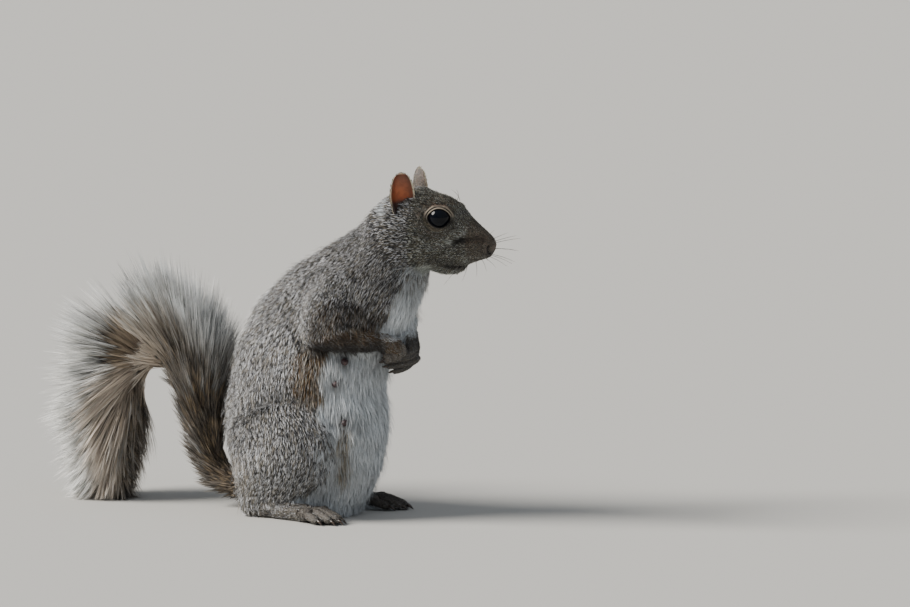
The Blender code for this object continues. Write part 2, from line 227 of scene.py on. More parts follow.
def soften(obj, chosen, rounds):
    """Smooths the chosen points only."""
    group = obj.vertex_groups.new(name="soft")
    group.add(np.flatnonzero(chosen).tolist(), 1.0, "REPLACE")
    modify(obj, "SMOOTH", factor=0.5, iterations=rounds, vertex_group="soft")
    settle(obj)
    obj.vertex_groups.clear()


def one_form(names, name, grow, grain, rounds):
    """Copies of CAD nodes, merged and grown until the cuts close, as one even closed mesh."""
    bm = bmesh.new()
    for node_name in names:
        bm.from_mesh(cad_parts[node_name].data)
    bmesh.ops.remove_doubles(bm, verts=bm.verts, dist=0.001 * MM)
    mesh = bpy.data.meshes.new(name)
    bm.to_mesh(mesh)
    bm.free()
    form = link(mesh, name)
    modify(form, "DISPLACE", mid_level=0.0, strength=grow * MM)
    modify(form, "REMESH", mode="VOXEL", voxel_size=grain * MM)
    modify(form, "SMOOTH", factor=0.5, iterations=rounds)
    return settle(form)


# the head's own directions, from the two eyes: ahead to the nose, across to its left, and up
eyes = {side: node_middle(f"eye_{side}") for side in SIDES}
across = unit(eyes["left"] - eyes["right"])
ahead = np.cross(across, UP)
EYE_AT = (32.5, 10.8, 15.0)  # mm, the left eyeball from the head's joint: ahead, across, up
head_joint = (eyes["left"] + eyes["right"]) / 2 - EYE_AT[0] * ahead - EYE_AT[2] * UP


def on_head(spots):
    """Points given ahead, across and up from the head's joint, in the frame."""
    spots = np.asarray(spots, float)
    return head_joint + spots[..., :1] * ahead + spots[..., 1:2] * across + spots[..., 2:] * UP


def head_own(points):
    """The head's own ahead, across and up of points in the frame."""
    shifted = points - head_joint
    return np.stack([shifted @ ahead, shifted @ across, shifted @ UP], axis=-1)


# bones: part, side or 0 for both, start, end, and the flesh's radius at both; mm, on the left
BONES = (
    ("trunk", 0, (16, 0, 10), (19.5, 0, 62), 38, 40),
    ("trunk", 0, (19.5, 0, 62), (50, 0, 120), 38, 30),
    ("trunk", 0, (50, 0, 120), (64, 0, 140), 30, 25),
    ("upper_arm", 0, (51, 19, 127), (45, 32, 106), 17, 11),
    ("forearm", -1, (46, 32, 103), (74, 15.5, 99), 10, 6.5),
    ("forearm", 1, (46, 32, 103), (79, 13, 104), 10, 6.5),
    ("hand", -1, (76, 13, 98.5), (86, 5, 95), 6.5, 6),
    ("hand", 1, (82, 10, 101), (84, 7, 92), 6, 6),
    ("hand", 1, (84, 7, 90), (72, 6, 85), 4, 3.5),
    ("foot", 0, (6, 27, 6), (60, 38, 3), 7.5, 6),
)
HAUNCH_AT, HAUNCH_SIZE = (19, 32, 40), (34, 17, 31)
# the planes where the neck meets the trunk and the head the neck: a point and the way ahead
CUTS = {"neck": ((65, 0, 140), (0.44, 0, 0.9)), "head": ((81, 0, 155), (0.83, 0, 0.56))}
PARTS = ("head", "neck", "trunk", "upper_arm", "forearm", "hand", "foot", "haunch")
# the coat's depth on each part: how far its tips stand off the skin, mm, in PARTS' order
DEPTH = np.array([2.0, 3.4, 3.8, 2.8, 1.8, 0.5, 0.7, 3.8])


def along_bone(points, start, end):
    """How far along a straight bone each point lies, 0 to 1, and its distance from it."""
    start, end = np.array(start, float), np.array(end, float)
    run = end - start
    share = np.clip((points - start) @ run / (run @ run), 0, 1)
    return share, np.linalg.norm(points - start - share[:, None] * run, axis=1)


def gap_to(points, spots):
    """Distance to the nearest of the straight lines that join the spots."""
    return np.min([along_bone(points, start, end)[1] for start, end in zip(spots, spots[1:])], axis=0)


def is_part(part, *names):
    """Which points belong to one of the named parts."""
    return np.isin(part, [PARTS.index(name) for name in names])


def part_of(points):
    """The index in PARTS of each point's part: that of the bone whose flesh it is least clear
    of, or the haunch, which is an egg, and beyond the cuts the neck and the head."""
    mirror = mirrored(points)
    best, part = np.full(len(points), np.inf), np.zeros(len(points), int)
    for name, side, start, end, thick, thin in BONES:
        share, gap = along_bone(mirror, start, end)
        gap = gap / (thick + (thin - thick) * share)
        if side:
            gap = np.where(np.sign(points[:, 1]) == side, gap, np.inf)
        part = np.where(gap < best, PARTS.index(name), part)
        best = np.minimum(best, gap)
    gap = np.linalg.norm((mirror - HAUNCH_AT) / HAUNCH_SIZE, axis=1)
    part = np.where((gap < best * 1.02) & (mirror[:, 1] > 13), PARTS.index("haunch"), part)
    for name, (spot, way) in CUTS.items():
        beyond = ((points - spot) @ way > 0) & (part <= PARTS.index("trunk"))
        part = np.where(beyond, PARTS.index(name), part)
    return part


def edges_of(mesh):
    """The two points of each edge, as an array (edges, 2)."""
    flat = np.empty(len(mesh.edges) * 2, np.int32)
    mesh.edges.foreach_get("vertices", flat)
    return flat.reshape(-1, 2)


def spread(values, edges, rounds):
    """Evens out values over a surface: each round mixes a point half with its neighbours' mean."""
    values = values if values.ndim == 2 else values[:, None]
    a, b = edges.T
    size = len(values)
    count = np.maximum(np.bincount(a, minlength=size) + np.bincount(b, minlength=size), 1)
    for _ in range(rounds):
        near = [np.bincount(a, v[b], size) + np.bincount(b, v[a], size) for v in values.T]
        values = (values + np.stack(near, axis=1) / count[:, None]) / 2
    return values if values.shape[1] > 1 else values[:, 0]


def coat_depth(points, part):
    """Depth by part; on the head it falls from the nape to nothing at the nose tip and the eyes."""
    fore = head_own(points)[:, 0]
    face = 2.6 - 1.7 * smoothstep(8, 44, fore) - 0.65 * smoothstep(44, 60, fore)
    depth = np.where(is_part(part, "head"), face, DEPTH[part])
    toes = is_part(part, "foot") & (points[:, 0] > 38)
    return np.where(toes, 0.45, depth)


def finer(obj, inside, rounds):
    """Halves the spacing of the points inside a region, then smooths that region."""
    chosen = inside(read(obj.data)[0])
    bm = bmesh.new()
    bm.from_mesh(obj.data)
    edges = [e for e in bm.edges if chosen[e.verts[0].index] and chosen[e.verts[1].index]]
    bmesh.ops.subdivide_edges(bm, edges=edges, cuts=1, use_grid_fill=True)
    bmesh.ops.triangulate(bm, faces=[f for f in bm.faces if len(f.verts) > 4])
    bm.to_mesh(obj.data)
    bm.free()
    soften(obj, inside(read(obj.data)[0]), rounds)


def near_eyes(points, reach):
    """Points that lie less than reach from the middle of an eye."""
    return np.minimum(*(np.linalg.norm(points - eye, axis=1) for eye in eyes.values())) < reach


def on_face(points, start):
    """Points of the head that lie more than start ahead of its joint."""
    return (head_own(points)[:, 0] > start) & (points[:, 2] > HEAD_BASE)


# folds where one part presses on the next: points of the line, half width and depth, mm
HAUNCH_FOLD = ((2, 34, 57), (8, 34, 63), (16, 34, 68), (25, 33.5, 70), (35, 31.5, 69),
               (44, 27.5, 63), (50, 24, 53), (52, 22, 39), (48, 21, 22), (40, 21, 10))
ELBOW_FOLD = ((54, 32.5, 120.5), (62, 26, 122), (69, 19.5, 117), (73, 15, 112))
ARM_FOLD = ((37, 27, 139), (30, 29, 124), (27, 30, 112), (30, 32, 101), (40, 35, 95), (54, 25, 92))
FOLDS = ((HAUNCH_FOLD, 4.2, 2.2), (ELBOW_FOLD, 2.0, 0.9), (ARM_FOLD, 3.4, 2.0))
# swellings of muscle and fat: middle, half sizes and rise, mm
SWELLS = (
    ((19, 38, 42), (30, 22, 27), 1.8), ((40, 30, 112), (14, 16, 18), 1.6),
    ((3, 38, 22), (15, 16, 14), 1.2), ((58, 0, 52), (24, 26, 26), 1.2),
    ((60, 25, 111), (20, 14, 11), 3.4),
)
HEAD_BASE = 132  # mm above the floor, under the chin and over the hands
RIGHT_WRIST, RIGHT_KNUCKLES = np.array((74.0, -15.5, 99.0)), np.array((86.0, -5.0, 95.0))


def shape(points, normals):
    """Moves the hide where the animal's outline is not that of its simple solids: crown, bridge
    and throat are hollowed, the hands drawn in, and folds part haunch, arm and trunk."""
    fore, _, tall = head_own(points).T
    crown = 2.6 * bell(fore - 26, 7) * smoothstep(12, 27, tall)
    bridge = 1.5 * between(49, 56, 7, fore) * smoothstep(0, 12, tall + 0.5 * (fore - 34))
    throat = 4.0 * bell(np.linalg.norm((points - (97, 2, 138)) / (9, 14, 12), axis=1), 1) * (tall < -8)
    points = points - throat[:, None] * (1, 0, 0) - (crown + bridge)[:, None] * UP
    reach = RIGHT_KNUCKLES - RIGHT_WRIST
    share, gap = along_bone(points, RIGHT_WRIST, RIGHT_KNUCKLES + 0.4 * reach)
    pull = 3.4 * smoothstep(0.1, 0.8, share) * (gap < 11) * (points[:, 1] < 1)
    points = points - pull[:, None] * unit(reach)
    hands = smoothstep(72, 80, points[:, 0]) * between(84, 104, 5, points[:, 2])
    points = points - (hands * np.where(points[:, 1] < 0.5, 2.6, 3.4))[:, None] * (0.87, 0.5, 0)
    mirror = mirrored(points)
    toes = smoothstep(46, 52, points[:, 0]) * (1 - smoothstep(9, 12, points[:, 2]))
    points = points - (0.7 * toes)[:, None] * normals
    for spots, width, depth in FOLDS:
        points = points - normals * (depth * bell(gap_to(mirror, spots), width))[:, None]
    for spot, size, rise in SWELLS:
        gap = np.linalg.norm((mirror - spot) / size, axis=1)
        points = points + normals * (rise * (1 - smoothstep(0.3, 1.0, gap)))[:, None]
    return points


hide = one_form(FLESH + [f"eye_{side}" for side in SIDES], "hide", CLOSING, FORM_GRAIN, 8)
points, normals = read(hide.data)
depth = spread(coat_depth(points, part_of(points)), edges_of(hide.data), 12)
depth = np.minimum(depth, np.maximum(points[:, 2] - 0.2, 0.0) * 0.5 + 0.25)  # thin near the floor
write(hide.data, points - normals * depth[:, None])
modify(hide, "REMESH", mode="VOXEL", voxel_size=HIDE_GRAIN * MM)
settle(hide)
broad = ~is_part(part_of(read(hide.data)[0]), "head", "hand", "foot")
soften(hide, broad, 12)
soften(hide, ~broad, 2)
write(hide.data, shape(*read(hide.data)))
finer(hide, lambda p: on_face(p, 14), 3)
finer(hide, lambda p: on_face(p, 38) | near_eyes(p, 11.5), 3)
finer(hide, lambda p: near_eyes(p, 9.5), 2)

# lids: the opening's half width and half height in mm, square to the direction of the eye
EYE_RADIUS = 6.2
EYE_LOOK = unit(np.array([0.33, 0.93, -0.02]))
OPENING = (5.55, 4.95)


def eye_look(side):
    """The direction in which an eye looks."""
    look = EYE_LOOK * (1, SIDES[side], 1)
    return look[0] * ahead + look[1] * across + look[2] * UP


def lid_ring(points, side):
    """For one eye: distance outside the opening's rim, height along the look, angle round it
    from the front corner, and the rim's own distance from the middle. The rim is an ellipse
    whose front and back corners are drawn out a little."""
    look = eye_look(side)
    forward = unit(ahead - (ahead @ look) * look)
    rise = np.cross(forward, look) * SIDES[side]
    shifted = points - eyes[side]
    height, a, b = shifted @ look, shifted @ forward, shifted @ rise
    angle = np.arctan2(b / OPENING[1], a / OPENING[0])
    corner = 1 + 0.08 * np.cos(angle) ** 10
    rim = corner / np.hypot(np.cos(angle) / OPENING[0], np.sin(angle) / OPENING[1])
    return np.hypot(a, b) - rim, height, angle, rim


def carve_lids(points, side):
    """Inside the rim the hide lies under the eyeball. Outside, a rolled edge and, above the eye,
    two crescent folds stand on a slope that runs from the ball back to the skin."""
    out, height, angle, rim = lid_ring(points, side)
    near = (out < 7.5) & (height > -2.5) & (np.linalg.norm(points - eyes[side], axis=1) < 13.5)
    above, below = smoothstep(-0.2, 0.6, np.sin(angle)), smoothstep(0.0, 0.8, -np.sin(angle))
    ball = np.sqrt(np.maximum((EYE_RADIUS - 0.4) ** 2 - (out + rim) ** 2, 0.04))
    slope = np.sqrt(np.maximum(EYE_RADIUS**2 - rim**2, 0.04)) - 0.12 * out**2
    slope = slope + (height - slope) * smoothstep(0.6 + above, 4.2 + above, out)
    ridge = 0.5 * bell(out - 0.65, 0.42) - 0.15 * bell(out, 0.25)
    ridge += above * (0.6 * bell(out - 2.15, 0.5) - 0.55 * bell(out - 1.35, 0.28))
    ridge -= above * 0.4 * bell(out - 3.2, 0.4)
    ridge += below * (0.35 * bell(out - 2.0, 0.6) - 0.2 * bell(out - 1.25, 0.3))
    ridge *= 1.0 if side == "right" else 0.45
    wanted = np.where(out < 0, ball, slope + ridge)
    return points + np.where(near, wanted - height, 0)[:, None] * eye_look(side)


# lines pressed into the face on both sides: points ahead, across and up from the head's joint,
# half width and depth, mm
FACE_LINES = {
    "mouth": (((48, 0, -11.6), (45.5, 1.8, -12.3), (42.6, 3.2, -12.4), (39.2, 4.8, -12.2),
               (36.2, 6.2, -12.0)), 0.6, 1.6),
    "cheek": (((46.6, 9.7, 3.0), (42.9, 11.4, 1.0), (39.7, 12.2, -1.3), (35.2, 12.8, -4.2),
               (31.1, 12.6, -6.6)), 1.6, 0.5),
    "nostril": (((59.6, 5.0, -0.2), (58.9, 5.4, -1.2), (58.7, 5.0, -2.8), (58.9, 3.9, -4.3),
                 (59.5, 2.6, -5.0)), 0.42, 1.5),
    "philtrum": (((61.3, 0, -2.2), (58.5, 0, -6.4), (53, 0, -9.6), (48.4, 0, -11.2)), 0.4, 0.7),
    "wing": (((57.4, 5.2, 3.6), (56.6, 6.9, 0.6), (56.4, 6.8, -2.6), (57.2, 5.0, -5.6)), 0.6, 0.35),
}
for side in SIDES:
    write(hide.data, carve_lids(read(hide.data)[0], side))
lines = {}
for name, (spots, width, depth) in FACE_LINES.items():
    for sign in SIDES.values():
        points, normals = read(hide.data)
        gap = gap_to(points, on_head(np.array(spots) * (1, sign, 1)))
        write(hide.data, points - normals * (depth * bell(gap, width))[:, None])
        lines[name] = np.minimum(lines.get(name, gap), gap)
hide.data.shade_smooth()


# ---- markings, painted shade and lie of the coat ---------------------------------------------
# A grey squirrel is ticked grey above and white below, with a rusty strip along the flank,
# rusty paws and muzzle, and a buff ring round the eye. Painted shade darkens its folds,
# creases, undersides and shaded sides. Its hair lies from nose to tail.

# height, centre, half depth and half width of the trunk and neck, mm
GIRTH = np.array([
    (0, 15, 27, 25), (28, 18, 45, 36), (45, 19, 47.5, 38), (78, 21.5, 45, 36.5), (94, 28, 43.5, 34),
    (109, 38.5, 39, 31), (122, 52, 34, 28.5), (135, 65, 30, 25.5), (147, 75, 26, 22.5), (160, 84, 21, 20),
])
# height in mm, and the angle from straight ahead at which white gives way to grey, degrees
WHITE_EDGE = np.array([
    (0, 80), (30, 72), (55, 60), (72, 57), (92, 60), (98, 54), (105, 34), (118, 29), (134, 38), (150, 56),
])
GROIN_STRIPE = ((54, 19, 50), (51.5, 17, 26))
# the teats that show through the belly's coat, on the left side, mm
NIPPLES = np.array([(55, 20.5, 88.5), (50.5, 22, 76), (54, 20, 54)])
# streaks of the face: kind, strength, half width in mm, and points ahead, across and up
STREAKS = (
    ("rust", 0.2, 2.4, ((44, 11, 2.4), (57.5, 5.5, 3.3))),  # along the muzzle
    ("dark", 0.45, 2.2, ((43, 11, 2.6), (57.5, 5.5, 3.3))),
    ("dark", 0.24, 2.2, ((44, 10.8, 1.6), (50, 9, 3.2), (56, 6, 5))),
    ("pale", 0.4, 1.5, ((46.5, 9, 7), (44.4, 10.6, 3.9), (39.9, 12.4, 1.6))),  # before the cheek
    ("pale", 0.13, 3.2, ((38, 12.9, 1.5), (30, 15, -1), (20, 16.5, -3))),  # on the cheek
    # the next streak, behind the mouth, is a dark line together with the painted shade of the cheek pouch's
    # fold
    ("dark", 0.25, 1.9, ((28, 14.6, -8.5), (31, 12.6, -8.6), (36, 11, -8.4))),  # behind the mouth
    ("dark", 0.6, 1.6, ((39.3, 11, 13.7), (41.2, 9.8, 11.4), (40.9, 10.8, 9.3))),  # before the eye
    ("dark", 0.2, 2.0, ((43.5, 10, 9), (38, 12.8, 6.6), (29, 15.2, 4.6))),  # under the eye
    ("dark", 0.55, 2.2, ((9.6, 16.9, 13.9), (8, 15.5, 16))),  # at the ear's foot
    ("pale", 0.8, 2.0, ((2, 7.5, 21.7), (2.8, 13.7, 16.9), (3.5, 15.5, 14))),  # behind the ear
)


def ripple(points, size, seed):
    """Smooth noise from about -1 to 1: a mean of eight sine waves of about the given size in mm."""
    draw = np.random.default_rng(seed)
    ways = unit(draw.normal(size=(8, 3))) * (2 * np.pi / (size * draw.uniform(0.7, 1.5, (8, 1))))
    return np.sin(points @ ways.T + draw.uniform(0, 2 * np.pi, 8)).sum(axis=1) / 4


def round_trunk(points):
    """The angle at which points stand round the trunk, from 0 straight ahead to 180 behind."""
    x, y, z = points.T
    centre, half_depth, half_width = (np.interp(z, GIRTH[:, 0], GIRTH[:, k]) for k in (1, 2, 3))
    return np.degrees(np.arctan2(np.abs(y) / half_width, (x - centre) / half_depth))


def markings_and_shade(points, normals, part):
    """How white, rusty, dark and buff the coat is at each point, 0 to 1. The dark also carries
    painted shade in folds and creases, on undersides and on shaded sides.
    """
    x, y, z = points.T
    fore, _, tall = head_own(points).T
    mirror, face = mirrored(points), mirrored(head_own(points))
    facing_fore, upward = normals[:, 0], normals[:, 2]
    head = is_part(part, "head")
    streaks = {"pale": 0, "rust": 0, "dark": 0}
    for kind, strength, width, spots in STREAKS:
        streaks[kind] = streaks[kind] + strength * (head * bell(gap_to(face, spots), width))

    def on(*names):
        """Which points are on one of the named parts."""
        return is_part(part, *names)

    # white: the front of the body, the inner sides of the limbs, and the chin
    facing = round_trunk(points)
    edge = np.interp(z, *WHITE_EDGE.T) + 4 * ripple(points, 14, 5)
    pale = on("trunk", "neck") * (1 - smoothstep(edge - 9, edge + 7, facing))
    pale *= 1 - 0.5 * smoothstep(-34, -17, tall)
    inner = smoothstep(0.15, 0.55, -normals[:, 1] * np.sign(y))
    haunch_front = 0.5 * smoothstep(37, 52, x + 3 * ripple(points, 9, 6))
    pale += on("haunch") * np.maximum(haunch_front, inner) * np.where(y > 0, 0.5, 1)
    pale += on("upper_arm") * inner + on("forearm") * inner * 0.9
    stripe = bell(gap_to(mirror, GROIN_STRIPE), 5.4) * on("trunk", "haunch")
    pale *= 1 - 0.38 * stripe
    elbow = between(103, 121, 7, z) * between(50, 84, 9, x) * (1 - np.clip(pale, 0, 1))
    hand_tops = on("hand", "forearm") * smoothstep(0.5, 0.85, upward) * smoothstep(72, 77, x)
    pale += 0.45 * hand_tops + 0.7 * on("hand", "forearm") * (y > 0) * smoothstep(99, 103, z)
    pale += 0.1 * on("foot") * smoothstep(10, 30, x)
    chin = 1 - smoothstep(-13.5, -9.5, tall - 0.1 * np.minimum(fore - 20, 14))
    lip = 0.3 * between(45, 56, 3, fore) * between(-10.5, -6.5, 1.5, tall)
    pale += head * (chin * (0.85 - 0.6 * smoothstep(22, 34, fore)) + lip) + streaks["pale"]
    pale *= 1 - head * bell(lines["mouth"], 2.5)

    # rust: a strip beside the white, the elbows, paws, forehead and muzzle
    strip = between(edge + 1, edge + 14, 24, facing) * between(72, 101, 15, z + 5 * ripple(points, 12, 9))
    rust = 0.5 * on("trunk", "neck") * strip + 0.32 * on("upper_arm", "trunk", "forearm") * elbow
    rust += 0.22 * on("forearm") + on("hand") * np.where(y < 0, 0.42, 0.1) + 0.15 * on("foot")
    rust += 0.12 * on("upper_arm") * (1 - smoothstep(104, 118, z))
    forehead = 0.3 * between(24, 41, 5, fore) * smoothstep(18.5, 21.5, tall)
    cheekbone = 0.12 * between(26, 40, 4, fore) * between(4, 8, 2, tall)
    muzzle = 0.16 * smoothstep(42, 50, fore) * smoothstep(-6, 0, tall)
    rust += head * (forehead + cheekbone + muzzle) + streaks["rust"]

    # dark: nose and lips; painted shade on the jaw and under it, in the creases and the cheek fold, on the
    # undersides of the forearms, on upper arm and trunk at the elbow's height, on shoulders, neck and the
    # low front of the trunk, and along the folds; the feet and haunch a little darker all over
    nose = 0.7 * smoothstep(57.4, 58.6, fore) * (1 - smoothstep(-4.2, -2.6, tall))
    bridge = 0.2 * smoothstep(44, 52, fore) * smoothstep(7, 10, tall)
    # painted shade: the lower jaw darkened, and a painted shadow where the jaw meets the throat
    jaw_shade = 0.35 * between(30, 44, 4, fore) * between(-12, -8.5, 1.5, tall)
    jaw_shade += 0.5 * np.exp(-(((fore - 27) / 5) ** 2 + ((tall + 14.5) / 2) ** 2))
    # dark skin of lips and nostrils, with painted shade in their creases and in the cheek fold
    creases = bell(lines["mouth"], 1.1) + 0.42 * bell(lines["cheek"], 1.7) + bell(lines["nostril"], 0.6)
    dark = head * (nose + bridge + jaw_shade + creases) + streaks["dark"]
    grey = 1 - np.clip(pale, 0, 1)
    dark += on("hand") * (y > 0) * 0.5 * (1 - smoothstep(99, 103, z))
    # painted shade: the forearms darker where they face down, the near one most; their fur is a little
    # darker all over too
    under_arm_shade = 0.4 * (1 - smoothstep(0.1, 0.7, upward)) * (1 - 0.6 * (y > 0))
    dark += on("forearm") * (0.2 * (1 - pale) + under_arm_shade)
    dark += on("forearm") * (y < 0) * 0.3 * (1 - smoothstep(-0.6, 0.2, upward))
    # painted shade on the upper arm and the trunk beside it, at the elbow's height
    dark += 0.22 * on("upper_arm", "trunk") * between(101, 118, 8, z) * smoothstep(40, 56, x) * grey
    # painted shade on the shoulders, and on the low front of the trunk
    shoulder_shade = smoothstep(98, 116, z) * smoothstep(-0.6, 0.1, facing_fore)
    low_front_shade = on("trunk") * (1 - smoothstep(18, 56, z)) * smoothstep(0, 0.6, facing_fore)
    # painted shade on the neck, least where it faces up and forward
    neck_shade = 0.13 + 0.2 * smoothstep(-0.75, -0.35, normals @ (-0.5, 0, -0.86))
    dark += 0.2 * on("neck", "trunk", "upper_arm") * shoulder_shade * grey + 0.14 * low_front_shade
    dark += on("neck") * neck_shade * grey + 0.3 * on("foot") + 0.07 * on("haunch")
    # painted shade along the folds of haunch, elbow and arm
    for line, _, _ in FOLDS:
        dark += 0.15 * bell(gap_to(mirror, line), 3.5) * ~head * (0.4 + 0.6 * grey)
    for spot in NIPPLES:
        dark += 0.75 * bell(np.linalg.norm(mirror - spot - (0, 0, 4.5), axis=1), 3.4)

    # buff: the groin's stripe, the back of the haunch, and the lids with dark lines between
    buff = 0.5 * stripe + 0.3 * on("haunch") * between(14, 34, 10, z) * (1 - smoothstep(2, 22, x))
    for side in SIDES:
        out, height, angle, _ = lid_ring(points, side)
        ring = (height > 0) & (out > -1) & (np.linalg.norm(points - eyes[side], axis=1) < 14)
        high, round_front = np.sin(angle), np.cos(angle)
        above, below = smoothstep(-0.1, 0.4, high), smoothstep(-0.1, 0.5, -high)
        front, behind = smoothstep(0.5, 0.95, round_front), smoothstep(0.8, 0.97, -round_front)
        upper = np.maximum(0.9 * between(0.45, 0.85, 0.15, out), 0.75 * between(1.5, 2.1, 0.25, out))
        lower = 0.5 * between(1.0, 2.3, 1.0, out) * (1 - 0.65 * smoothstep(-0.5, 0.8, round_front))
        corner = 0.55 * front * between(1.6, 4.0, 1.2, out) * smoothstep(-0.25, 0.15, high)
        lids = np.max([above * upper, (1 - above) * lower, corner], axis=0)
        buff = np.maximum(buff, ring * lids * (1.0 if side == "right" else 0.6))
        lined = 1 - smoothstep(0.05 + 0.4 * below, 0.35 + 0.6 * below, out)
        lined += above * (0.8 * between(1.1, 1.4, 0.15, out) + 0.6 * between(2.6, 3.2, 0.35, out))
        lined += 0.75 * front * below * between(0.3, 2.8, 0.9, out)
        lined += 0.5 * behind * between(0.3, 1.2, 0.5, out)
        dark = np.where(ring & (out < 4), np.clip(lined, 0, 1), dark)
        rust = rust + ring * 0.3 * above * between(3.2, 5.5, 1.5, out)
    return np.clip(np.stack([pale, rust, dark, buff], axis=1), 0, 1)


def lie(points, part):
    """The way the hair lies on each part, before it is evened out over the hide."""
    _, y, z = points.T
    sign, none = np.sign(y), np.zeros(len(points))

    def way(fore, left, up):
        """One direction for every point, in the frame."""
        return np.stack([fore + none, left + none, up + none], axis=1)

    hooked = (z < 91) & (y > 0)  # the left hand's lower half, which hooks back under the right one
    ways = {
        "head": unit(points - on_head((60.0, 0.0, 1.0))),
        "neck": way(-0.55, 0, -0.84),
        "trunk": way(-0.5 * smoothstep(70, 135, z), 0, -1),
        "upper_arm": way(-0.35, 0.1 * sign, -0.95),
        "forearm": way(0.7, -0.4 * sign, -0.55),
        "hand": np.where(hooked[:, None], (-0.85, -0.1, -0.4), way(0.5, -0.3 * sign, -0.75)),
        "foot": way(1, 0.2 * sign, -0.1),
        "haunch": way(0.6 * np.clip((z - 44) / 26, -0.9, 1), 0, -0.9),
    }
    return unit(np.select([is_part(part, name)[:, None] for name in ways], list(ways.values())))


def keep(mesh, name, values, kind="FLOAT"):
    """Keeps values as an attribute of a mesh's points: a number for each, or a colour."""
    field = mesh.attributes.new(name, kind, "POINT")
    field.data.foreach_set("value" if kind == "FLOAT" else "color", values.astype(np.float32).ravel())


points, normals = read(hide.data)
part = part_of(points)
own = head_own(points)
hide_edges = edges_of(hide.data)
marks_and_shade = markings_and_shade(points, normals, part)
keep(hide.data, "markings_and_shade", marks_and_shade, "FLOAT_COLOR")
lie_way = spread(lie(points, part), hide_edges, 22)
lie_way = unit(lie_way - (lie_way * normals).sum(axis=1)[:, None] * normals)
# the body's bend along the hair: the turn of the normal over each edge by the edge's length,
# so that long hair can follow a rounded back
a, b = hide_edges.T
step = points[b] - points[a]
bend, weight = np.zeros(len(points)), np.full(len(points), 1e-6)
for here, there, way in ((a, b, 1), (b, a, -1)):
    ahead_by = way * (step * lie_way[here]).sum(axis=1)
    turn_by = ((normals[there] - normals[here]) * lie_way[here]).sum(axis=1)
    bend += np.bincount(here, turn_by * ahead_by, len(points))
    weight += np.bincount(here, ahead_by**2, len(points))
bend = np.clip(spread(bend / weight, hide_edges, 8), -0.03, 0.12)
depth = spread(coat_depth(points, part), hide_edges, 7)

# hair length and the number of tufts on a square millimetre, in PARTS' order
LENGTH = np.array([4.6, 5.8, 6.8, 5.2, 3.6, 2.0, 3.3, 6.4])
TUFTS = np.array([1.2, 1.9, 1.5, 2.05, 2.6, 2.4, 1.9, 1.75])
head, fore = is_part(part, "head"), own[:, 0]
length = np.where(head, 4.9 - 2.5 * smoothstep(5, 40, fore) - 1.2 * smoothstep(46, 58, fore), LENGTH[part])
crowd = np.where(head, 1.5 + 0.95 * smoothstep(8, 36, fore) + 1.2 * smoothstep(48, 56, fore), TUFTS[part])
length, crowd = spread(length, hide_edges, 6), spread(crowd, hide_edges, 4)
# no hair grows on lids, lips, nostrils, nose leather, teats and soles
bare = (lines["nostril"] < 1.0) | (lines["mouth"] < 0.5) | (points[:, 2] < 0.35)
bare |= head & (fore - 0.35 * own[:, 2] > 61.2)
for side in SIDES:
    out, height, angle, _ = lid_ring(points, side)
    ring = (height > -1) & (np.linalg.norm(points - eyes[side], axis=1) < 14)
    bare |= ring & (out < np.where(np.sin(angle) > 0, 2.3, 0.6))
    length = np.where(ring, np.minimum(length, 0.35 + 0.26 * np.maximum(out, 0)), length)
    crowd = np.where(ring & (out < 4), 4.0, crowd)
for spot in NIPPLES:
    bare |= np.linalg.norm(mirrored(points) - spot, axis=1) < 1.5
crowd = np.where(bare, 0, crowd)

# bare skin, soft and pored: under the hair it is dull and darker than the tips, as painted
# shade so that partings read as shade; on lids, nose and lips it shows its marking's own
# colour, and everywhere its dark channel adds the painted shade of folds, creases and shaded sides
hide_skin, tree, shader = new_material("skin_under_fur", Roughness=0.75)
read_marks_and_shade = add(tree, "Attribute", attribute_name="markings_and_shade")
split = add(tree, "SeparateColor", {"Color": read_marks_and_shade.outputs["Color"]})
colour = from_hex("#4d4842")
for code, share in (("#6a4a30", split.outputs["Green"]), ("#c3c5c4", split.outputs["Red"]),
                    ("#93897a", read_marks_and_shade.outputs["Alpha"]), ("#15110f", split.outputs["Blue"])):
    colour = add(tree, "Mix", {0: share, 6: colour, 7: from_hex(code)}, data_type="RGBA").outputs[2]
tree.links.new(colour, shader.inputs["Base Color"])
place = add(tree, "TexCoord").outputs["Object"]
pores = add(tree, "TexNoise", {"Vector": place, "Scale": 1.0 / (1.2 * MM), "Detail": 3.0})
bump = add(tree, "Bump", {"Height": pores.outputs["Fac"], "Strength": 0.5, "Distance": 0.3 * MM})
tree.links.new(bump.outputs["Normal"], shader.inputs["Normal"])
hide.data.materials.append(hide_skin)
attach(hide, "root")
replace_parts(hide, *FLESH, *TAIL_NODES)


